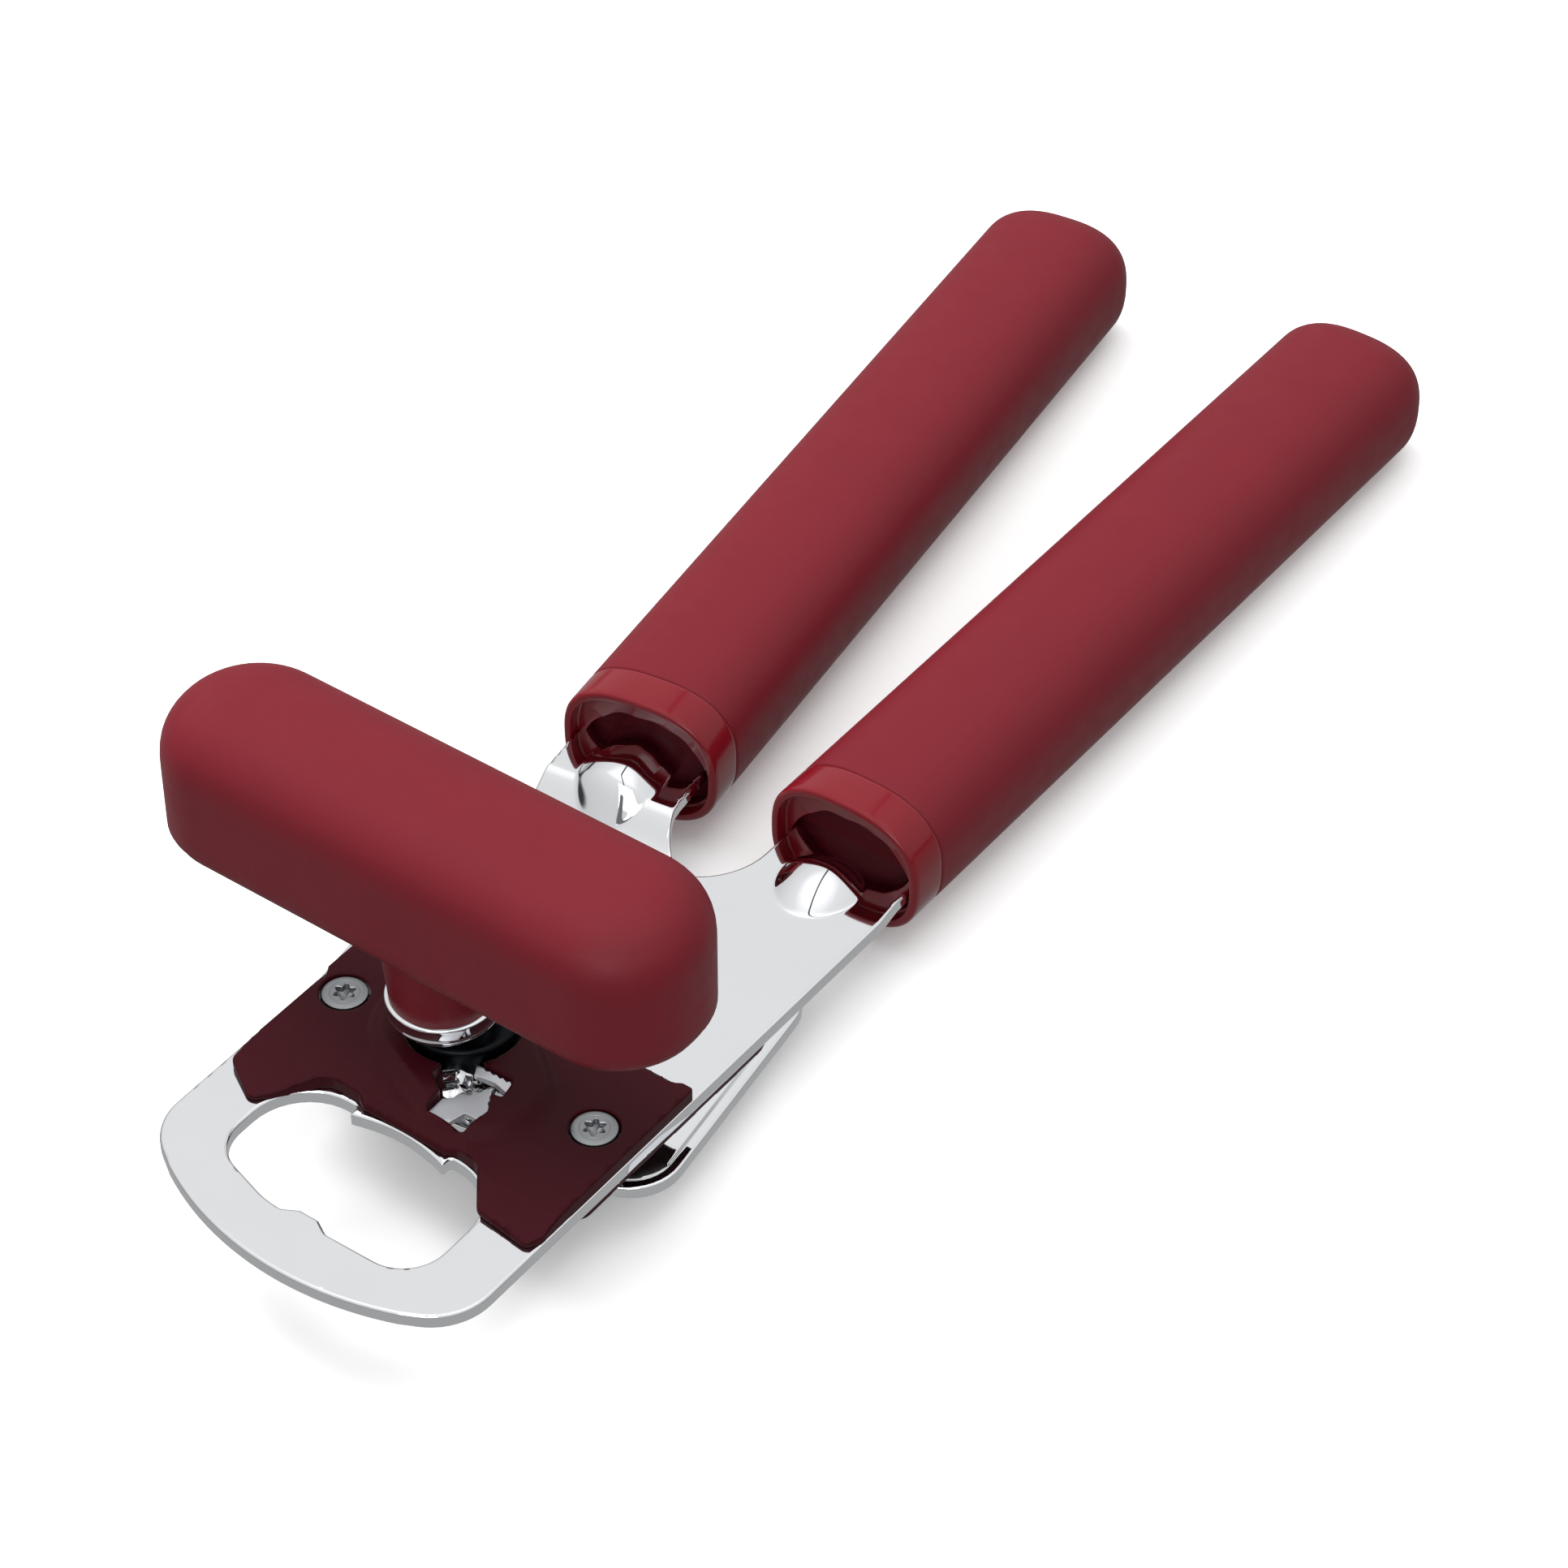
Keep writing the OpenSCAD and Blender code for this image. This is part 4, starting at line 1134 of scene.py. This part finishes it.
@dataclass
class Knob:
    """The bar knob: a soft shell over a base with a stem."""

    corner_r: float = 10.0
    shoulder_h: float = 8.5
    crown_power: float = 2.7
    base_h: float = 1.6
    stem_r: float = 6.1
    stem_flare: float = 1.2

    def ring(self, z: float, inset: float) -> list[tuple[float, float, float]]:
        """A rounded rectangle at a height, drawn in by an inset."""
        size = high("knob_cap") - low("knob_cap")
        hx, hy = size.x / 2 - inset, size.y / 2 - inset
        r = min(max(self.corner_r - inset * 0.6, 1.0), hy - 0.01)
        points = rounded([(hx, hy, r), (-hx, hy, r), (-hx, -hy, r), (hx, -hy, r)], 14)
        return [(x, y, z) for x, y in points]

    def build_cap(self) -> bpy.types.Object:
        """The soft shell: upright sides that roll over into a broad, gently crowned top."""
        z0, z1 = heights("knob_cap")
        half = (high("knob_cap").y - low("knob_cap").y) / 2
        rings = [self.ring(z0, 1.0), self.ring(z0, 0.3), self.ring(z0 + 0.12, 0.08), self.ring(z0 + 0.35, 0.0)]
        shoulder = z1 - self.shoulder_h
        rings += [self.ring(z0 + 0.35 + (shoulder - z0 - 0.35) * k / 5, 0.0) for k in range(1, 6)]
        for k in range(1, 41):
            a = math.pi / 2 * k / 40
            out, rise = math.cos(a) ** (2 / self.crown_power), math.sin(a) ** (2 / self.crown_power)
            rings.append(self.ring(shoulder + self.shoulder_h * rise, min((1 - out) * half, half - 0.15)))
        points, faces = loft(rings)
        return new_piece("knob_soft_shell", points, faces, SOFT_TOUCH, 60)

    def build_base(self) -> bpy.types.Object:
        """The lower shell with its stem."""
        z0, z1 = low("knob_cap").z - self.base_h, low("knob_cap").z
        plate = loft([self.ring(z0, 3.2), self.ring(z0 + 0.05, 2.0), self.ring(z0 + 0.35, 1.1),
                      self.ring(z0 + 0.8, 0.55), self.ring(z1 - 0.25, 0.32), self.ring(z1 - 0.05, 0.3),
                      self.ring(z1, 0.5)])
        foot = low("knob_base").z
        flare = [(foot, self.stem_r - 0.3), (foot + 0.15, self.stem_r)]
        flare += [(foot + (z0 - foot) * t, self.stem_r + self.stem_flare * t ** 1.2) for t in (0.3, 0.6, 0.85)]
        wide = self.stem_r + self.stem_flare
        flare += [(z0 - 0.8, wide + 0.1), (z0 - 0.3, wide + 0.45), (z0 + 0.1, wide + 1.2)]
        points, faces = merged(plate, loft(polar_rings(flare)))
        return new_piece("knob_lower_shell", points, faces, SOFT_TOUCH, 60)

    def dress(self) -> None:
        """Builds the knob and hangs it on the crank."""
        cap = stand_for(self.build_cap(), "crank", "soft_grip", "knob_cap")
        cap.visible_glossy = False
        base = stand_for(self.build_base(), "crank", "cover_plastic", "knob_base")
        base.visible_glossy = False


@dataclass
class CrankTrain:
    """What turns with the knob: ferrule, washers, shaft, feed wheel and nut."""

    bore_r: float = 2.9
    spring_r: float = 5.2
    spring_t: float = 0.2
    ring_r: float = 5.0
    shaft_r: float = 2.8
    thread_r: float = 2.3
    thread_depth: float = 0.3
    thread_pitch: float = 0.8
    thread_step: float = 0.08
    feed_teeth: int = 24
    tooth_tip_r: float = 7.75
    tooth_depth: float = 0.85

    def build_ferrule(self) -> bpy.types.Object:
        """A spun cup that the stem stands in."""
        z0, z1 = heights("ferrule")
        r = radius_of("ferrule")
        rings = polar_rings([
            (z0, self.bore_r), (z0, r - 2.8), (z0 + 0.06, r - 2.55), (z0 + 0.9, r - 0.5), (z0 + 1.0, r - 0.3),
            (z0 + 1.12, r - 0.12), (z0 + 1.3, r - 0.02), (z0 + 1.5, r), (z0 + 1.65, r - 0.06), (z0 + 1.8, r - 0.08),
            (z1 - 0.6, r - 0.06), (z1 - 0.3, r), (z1 - 0.15, r - 0.01), (z1 - 0.04, r - 0.08), (z1, r - 0.2),
            (z1, r - 0.4), (z1 - 0.1, r - 0.55), (z1 - 1.6, r - 0.57), (z1 - 1.7, self.bore_r),
        ], steps=96)
        points, faces = loft(rings)
        return new_piece("chrome_ferrule", points, faces, CHROME, 50)

    def build_spring(self) -> bpy.types.Object:
        """A three-lobed wave washer."""
        z, top = heights("spring_washer")
        steps, inner, outer, sheet = 72, self.bore_r, self.spring_r, self.spring_t
        rings = []
        for k in range(steps):
            a = 2 * math.pi * k / steps
            lift = (top - z - sheet) * (0.5 + 0.5 * math.cos(3 * a))
            rings.append([(r * math.cos(a), r * math.sin(a), z + lift + dz)
                          for r, dz in ((inner, 0), (outer, 0), (outer, sheet), (inner, sheet))])
        points = [p for ring in rings for p in ring]
        faces = [[4 * a + (i + 1) % 4, 4 * b + (i + 1) % 4, 4 * b + i, 4 * a + i]
                 for a, b in ((k, (k + 1) % steps) for k in range(steps)) for i in range(4)]
        return new_piece("wave_washer", points, faces, ZINC, 30)

    def build_shaft(self) -> bpy.types.Object:
        """The shaft, with a rolled thread on its foot."""
        z0, z1 = heights("crank_shaft")
        thread_end = low("feed_wheel").z
        r, root, steps = self.thread_r, self.thread_r - self.thread_depth, 48
        turns = int((thread_end - z0 - 0.5) / self.thread_step)

        def crest(z: float) -> Callable[[float], float]:
            """Radius of the thread at a height, as a function of the angle."""
            return lambda a: root + (r - root) * (0.5 + 0.5 * math.cos(a - 2 * math.pi * z / self.thread_pitch))

        levels = [(z0, 1.7), (z0, 1.9), (z0 + 0.25, root)]
        levels += [(z, crest(z)) for z in (z0 + 0.3 + self.thread_step * k for k in range(turns))]
        levels += [(thread_end - 0.1, root), (thread_end, root), (thread_end + 0.02, self.shaft_r), (z1, self.shaft_r)]
        rings = polar_rings(levels, steps=steps)
        points, faces = loft(rings)
        return new_piece("threaded_shaft", points, faces, ZINC, 40)

    def build_feed_wheel(self) -> bpy.types.Object:
        """The feed wheel: sharp teeth with a hollow between each pair."""
        z0, z1 = heights("feed_wheel")
        n, bore = self.feed_teeth, self.bore_r

        def radius(inset: float) -> Callable[[float], float]:
            """Radius of the toothed rim at an angle."""
            def at(a: float) -> float:
                t = (a * n / (2 * math.pi)) % 1.0
                return self.tooth_tip_r - inset - self.tooth_depth * min(1.0, abs(2 * t - 1) * 1.35) ** 0.8
            return at

        rings = polar_rings([
            (z0 + 0.25, bore), (z0 + 0.25, 4.2), (z0, 4.5), (z0, radius(0.75)), (z0 + 0.1, radius(0.5)),
            (z0 + 0.45, radius(0.0)), (z1 - 0.35, radius(0.0)), (z1 - 0.05, radius(0.35)), (z1, radius(0.6)),
            (z1, bore),
        ], steps=n * 12)
        points, faces = loft(rings)
        return new_piece("toothed_feed_wheel", points, faces, WHEEL_STEEL, 35)

    def build_washer(self) -> bpy.types.Object:
        """The thrust washer above the feed wheel."""
        z0, z1 = heights("thrust_washer")
        r, bore = self.ring_r, self.bore_r
        points, faces = loft(polar_rings([
            (z0, bore), (z0, r - 0.1), (z0 + 0.05, r), (z1 - 0.05, r), (z1, r - 0.1), (z1, bore),
        ]))
        return new_piece("thrust_ring", points, faces, ZINC, 30)

    def build_nut(self) -> bpy.types.Object:
        """A chamfered hexagon nut."""
        z0, z1 = heights("shaft_nut")
        flat = (high("shaft_nut").y - low("shaft_nut").y) / 2

        def hexagon(a: float) -> float:
            """Radius of the nut's six flats at an angle."""
            return flat / math.cos((a + math.pi / 6) % (math.pi / 3) - math.pi / 6)

        def turned(a: float) -> float:
            """Radius where the chamfer has cut the corners off."""
            return min(hexagon(a), flat * 1.01)

        points, faces = loft(polar_rings([
            (z0 + 0.2, 2.35), (z0, 2.75), (z0, lambda a: turned(a) - 0.1), (z0 + 0.35, hexagon), (z1 - 0.35, hexagon),
            (z1, turned), (z1, 2.35),
        ], steps=96))
        return new_piece("hex_nut", points, faces, ZINC, 25)

    def dress(self) -> None:
        """Builds the crank's parts and hangs them on it."""
        stand_for(self.build_ferrule(), "crank", "chrome_steel", "ferrule")
        stand_for(self.build_spring(), "crank", "zinc_steel", "spring_washer")
        stand_for(self.build_shaft(), "crank", "zinc_steel", "crank_shaft")
        stand_for(self.build_feed_wheel(), "crank", "blade_steel", "feed_wheel")
        stand_for(self.build_washer(), "crank", "zinc_steel", "thrust_washer")
        stand_for(self.build_nut(), "crank", "zinc_steel", "shaft_nut")


@dataclass
class Pivot:
    """The eccentric bush and the washer that keeps the lower lever on it."""

    head_edge: float = 0.45
    plate_r: float = 6.38
    shank_r: float = 6.0

    def build_bush(self) -> bpy.types.Object:
        """The turned bush, with a rounded head above the plate."""
        z0, z1 = heights("pivot_bush")
        r = radius_of("pivot_bush")
        e, step_z = self.head_edge, D.lever_z - 0.1
        points, faces = loft(polar_rings([
            (z0, 5.7), (z0 + 0.1, self.shank_r), (step_z, self.shank_r), (step_z, self.plate_r),
            (D.deck_z, self.plate_r), (D.deck_z, r), (z1 - e - 0.5, r), (z1 - e, r - 0.03),
            (z1 - e * 0.4, r - e * 0.35), (z1 - e * 0.08, r - e * 0.8), (z1, r - e * 1.3), (z1, r - 2.4),
        ], D.pivot, 96))
        bush = new_piece("eccentric_bush", points, faces, BLACK_OXIDE, 40)
        bush.data.materials.append(material_of(CHROME))
        for face in bush.data.polygons:
            face.material_index = int(face.center.z < (D.deck_z + 0.3) * MM)
        return bush

    def build_keeper(self) -> bpy.types.Object:
        """The retaining washer, with rounded edges."""
        z0, z1 = heights("bush_keeper")
        r = radius_of("bush_keeper")
        points, faces = loft(polar_rings([
            (z0, self.shank_r), (z0, r - 0.15), (z0 + 0.12, r), (z1 - 0.12, r), (z1, r - 0.15), (z1, self.shank_r),
        ], D.pivot, 96))
        return new_piece("keeper_washer", points, faces, ZINC, 30)

    def dress(self) -> None:
        """Builds the pivot's parts and hangs them on the frame body."""
        bush = stand_for(self.build_bush(), "frame", "black_steel", "pivot_bush")
        bush.visible_glossy = False
        stand_for(self.build_keeper(), "frame", "zinc_steel", "bush_keeper")


@dataclass
class CutterSet:
    """The cutting wheel with its stud and spacer."""

    def build_wheel(self) -> bpy.types.Object:
        """The cutting wheel, hollow ground to a thin edge."""
        z0, z1 = heights("cutting_wheel")
        r = radius_of("cutting_wheel")
        points, faces = loft(polar_rings([
            (z0, 2.55), (z0, 4.3), (z0 + 0.1, 4.45), (z0 + 0.3, 4.5), (z0 + 0.3, r - 2.5), (z0 + 0.5, r - 2.0),
            (z0 + 0.95, r - 1.2), (z0 + 1.5, r - 0.45), (z1 - 0.12, r - 0.04), (z1 - 0.04, r), (z1, r - 0.05),
            (z1, r - 1.2), (z1 - 0.05, r - 1.3), (z1, r - 1.4), (z1, 2.55),
        ], D.cutter, 120))
        return new_piece("cutting_disc", points, faces, WHEEL_STEEL, 30)

    def build_stud(self) -> bpy.types.Object:
        """The riveted stud with a low domed head."""
        z0, z1 = heights("cutter_stud")
        r = radius_of("cutter_stud")
        points, faces = loft(polar_rings([
            (z0, 1.2), (z0 + 0.05, 2.4), (z0 + 0.2, 3.4), (z0 + 0.45, r - 0.1), (z0 + 0.6, r), (z0 + 0.7, r - 0.1),
            (z0 + 0.7, 2.5), (z1 - 0.45, 2.5), (z1 - 0.45, 2.48), (z1 - 0.5, 1.6),
        ], D.cutter))
        return new_piece("riveted_stud", points, faces, ZINC, 40)

    def build_spacer(self) -> bpy.types.Object:
        """The spacer that stands the wheel off the lever."""
        z0, z1 = heights("cutter_spacer")
        r = radius_of("cutter_spacer")
        points, faces = loft(polar_rings([
            (z0, 2.5), (z0, r - 0.2), (z0 + 0.2, r), (z1 - 0.2, r), (z1, r - 0.2), (z1, 2.5),
        ], D.cutter))
        return new_piece("stand_off_ring", points, faces, ZINC, 30)

    def dress(self) -> None:
        """Builds the cutter's parts and hangs them on their bodies."""
        stand_for(self.build_wheel(), "cutter", "blade_steel", "cutting_wheel")
        stand_for(self.build_stud(), "lever", "zinc_steel", "cutter_stud")
        stand_for(self.build_spacer(), "lever", "zinc_steel", "cutter_spacer")


# ---------------------------------------------------------------- studio


@dataclass(frozen=True)
class Softbox:
    """One square soft light, with its place and size in millimetres and its power in watts."""

    name: str
    place: Corner
    size: float
    power: float
    in_reflections: bool = True


@dataclass
class Studio:
    """The paper sweep, the soft lights and the camera."""

    softboxes: tuple[Softbox, ...] = (
        Softbox("key_softbox", (-640.0, 100.0, 500.0), 460.0, 6.0, in_reflections=False),
        Softbox("front_fill", (300.0, -640.0, 520.0), 500.0, 2.0),
        Softbox("overhead_softbox", (60.0, 60.0, 900.0), 700.0, 3.4, in_reflections=False),
    )
    aim: Corner = (5.0, 60.0, 15.0)
    floor_half: float = 1400.0
    floor_drop: float = 0.05
    azimuth: float = 36.37
    elevation: float = 41.76
    distance: float = 577.5
    target: tuple[float, float, float] = (4.06, 59.9, 12.15)
    lens: float = 108.47
    sensor: float = 36.0
    tent_power: float = 1.5
    tent: tuple[Point, ...] = (
        (0.0, 0.42), (0.015, 0.03), (0.09, 0.05), (0.13, 0.7), (0.45, 0.82), (0.79, 0.95), (0.9, 1.25), (1.0, 1.5),
    )
    seam_normal: tuple[float, float, float] = (0.94, 0.34, 0.0)
    seam_half: float = 0.035

    def build_floor(self) -> None:
        """Lays the sweep under the shaft's foot and the handle tips, which the opener rests on."""
        tip_low = D.handle_z - D.handle_t / 2
        slope = tip_low / (D.tip_y - Handle.tip_r)
        ends = (-self.floor_half, self.floor_half)
        points = [(x, y, y * slope - self.floor_drop) for x in ends for y in ends]
        mesh = bpy.data.meshes.new("paper_floor")
        mesh.from_pydata([tuple(c * MM for c in p) for p in points], [], [(0, 2, 3, 1)])
        mesh.materials.append(material_of(Bench()))
        floor = bpy.data.objects.new("paper_floor", mesh)
        bpy.context.scene.collection.objects.link(floor)
        floor.visible_diffuse = False
        floor.visible_glossy = False

    def add_light(self, softbox: Softbox) -> None:
        """Hangs one soft light so that it faces the opener."""
        lamp = bpy.data.lights.new(softbox.name, "AREA")
        lamp.shape, lamp.size, lamp.energy = "SQUARE", softbox.size * MM, softbox.power
        holder = bpy.data.objects.new(softbox.name, lamp)
        holder.location = Vector(softbox.place) * MM
        aim = Vector(self.aim) * MM - holder.location
        holder.rotation_mode = "QUATERNION"
        holder.rotation_quaternion = aim.to_track_quat("-Z", "Y")
        holder.visible_glossy = softbox.in_reflections
        bpy.context.scene.collection.objects.link(holder)

    def build_world(self) -> None:
        """A light tent: dark at the table's edge, pale walls, and a bright ceiling panel."""
        world = bpy.data.worlds.new("light_tent")
        bpy.context.scene.world = world
        world.use_nodes = True
        tree = world.node_tree
        tree.nodes.clear()
        direction = add(tree, "TexCoord").outputs["Generated"]
        height = add(tree, "SeparateXYZ", None, {0: direction}).outputs["Z"]
        ramp = add(tree, "ValToRGB", None, {0: height})
        stops = ramp.color_ramp
        for k, (position, grey) in enumerate(self.tent):
            stop = stops.elements[k] if k < 2 else stops.elements.new(position)
            stop.position, stop.color = position, (*[grey / self.tent_power] * 3, 1)
        across = add(tree, "VectorMath", {1: self.seam_normal}, {0: direction}, operation="DOT_PRODUCT")
        seam = add(tree, "Math", None, {0: across.outputs["Value"]}, operation="ABSOLUTE")
        foot = add(tree, "MapRange", {"From Min": 0.1, "From Max": 0.4, "To Min": 1.0, "To Max": 0.0},
                   {"Value": height})
        closed = add(tree, "Math", None, {0: seam.outputs[0], 1: foot.outputs[0]}, operation="ADD")
        walls = add(tree, "MapRange", {"From Min": self.seam_half * 0.4, "From Max": self.seam_half, "To Min": 0.04},
                    {"Value": closed.outputs[0]})
        tent = add(tree, "VectorMath", None, {0: ramp.outputs[0]}, operation="SCALE")
        tree.links.new(walls.outputs[0], tent.inputs["Scale"])
        glow = add(tree, "Background", {"Strength": self.tent_power}, {"Color": tent.outputs[0]})
        add(tree, "OutputWorld", None, {"Surface": glow.outputs[0]})

    def build_camera(self) -> None:
        """Puts the camera where the product view is taken from."""
        a, e = math.radians(self.azimuth), math.radians(self.elevation)
        back = Vector((math.sin(a) * math.cos(e), -math.cos(a) * math.cos(e), math.sin(e)))
        data = bpy.data.cameras.new("product_camera")
        data.lens, data.sensor_width, data.sensor_fit = self.lens, self.sensor, "HORIZONTAL"
        data.clip_start, data.clip_end = 0.01, 20.0
        camera = bpy.data.objects.new("product_camera", data)
        camera.location = (Vector(self.target) + back * self.distance) * MM
        camera.rotation_mode = "QUATERNION"
        camera.rotation_quaternion = (-back).to_track_quat("-Z", "Y")
        bpy.context.scene.collection.objects.link(camera)
        bpy.context.scene.camera = camera

    def build(self) -> None:
        """Sets up everything that isn't part of the opener."""
        bpy.context.scene.view_settings.view_transform = "Standard"
        self.build_floor()
        self.build_world()
        for softbox in self.softboxes:
            self.add_light(softbox)
        self.build_camera()


def main() -> None:
    """Builds every sub-assembly in order, then the studio."""
    logging.basicConfig(level=logging.INFO, format="%(name)s: %(message)s")
    for part in (Head(), LowerLever(), Handle(Side.RIGHT), Handle(Side.LEFT), Pivot(), CutterSet(), Knob(),
                 CrankTrain()):
        part.dress()
    Studio().build()


if __name__ == "__main__":
    main()
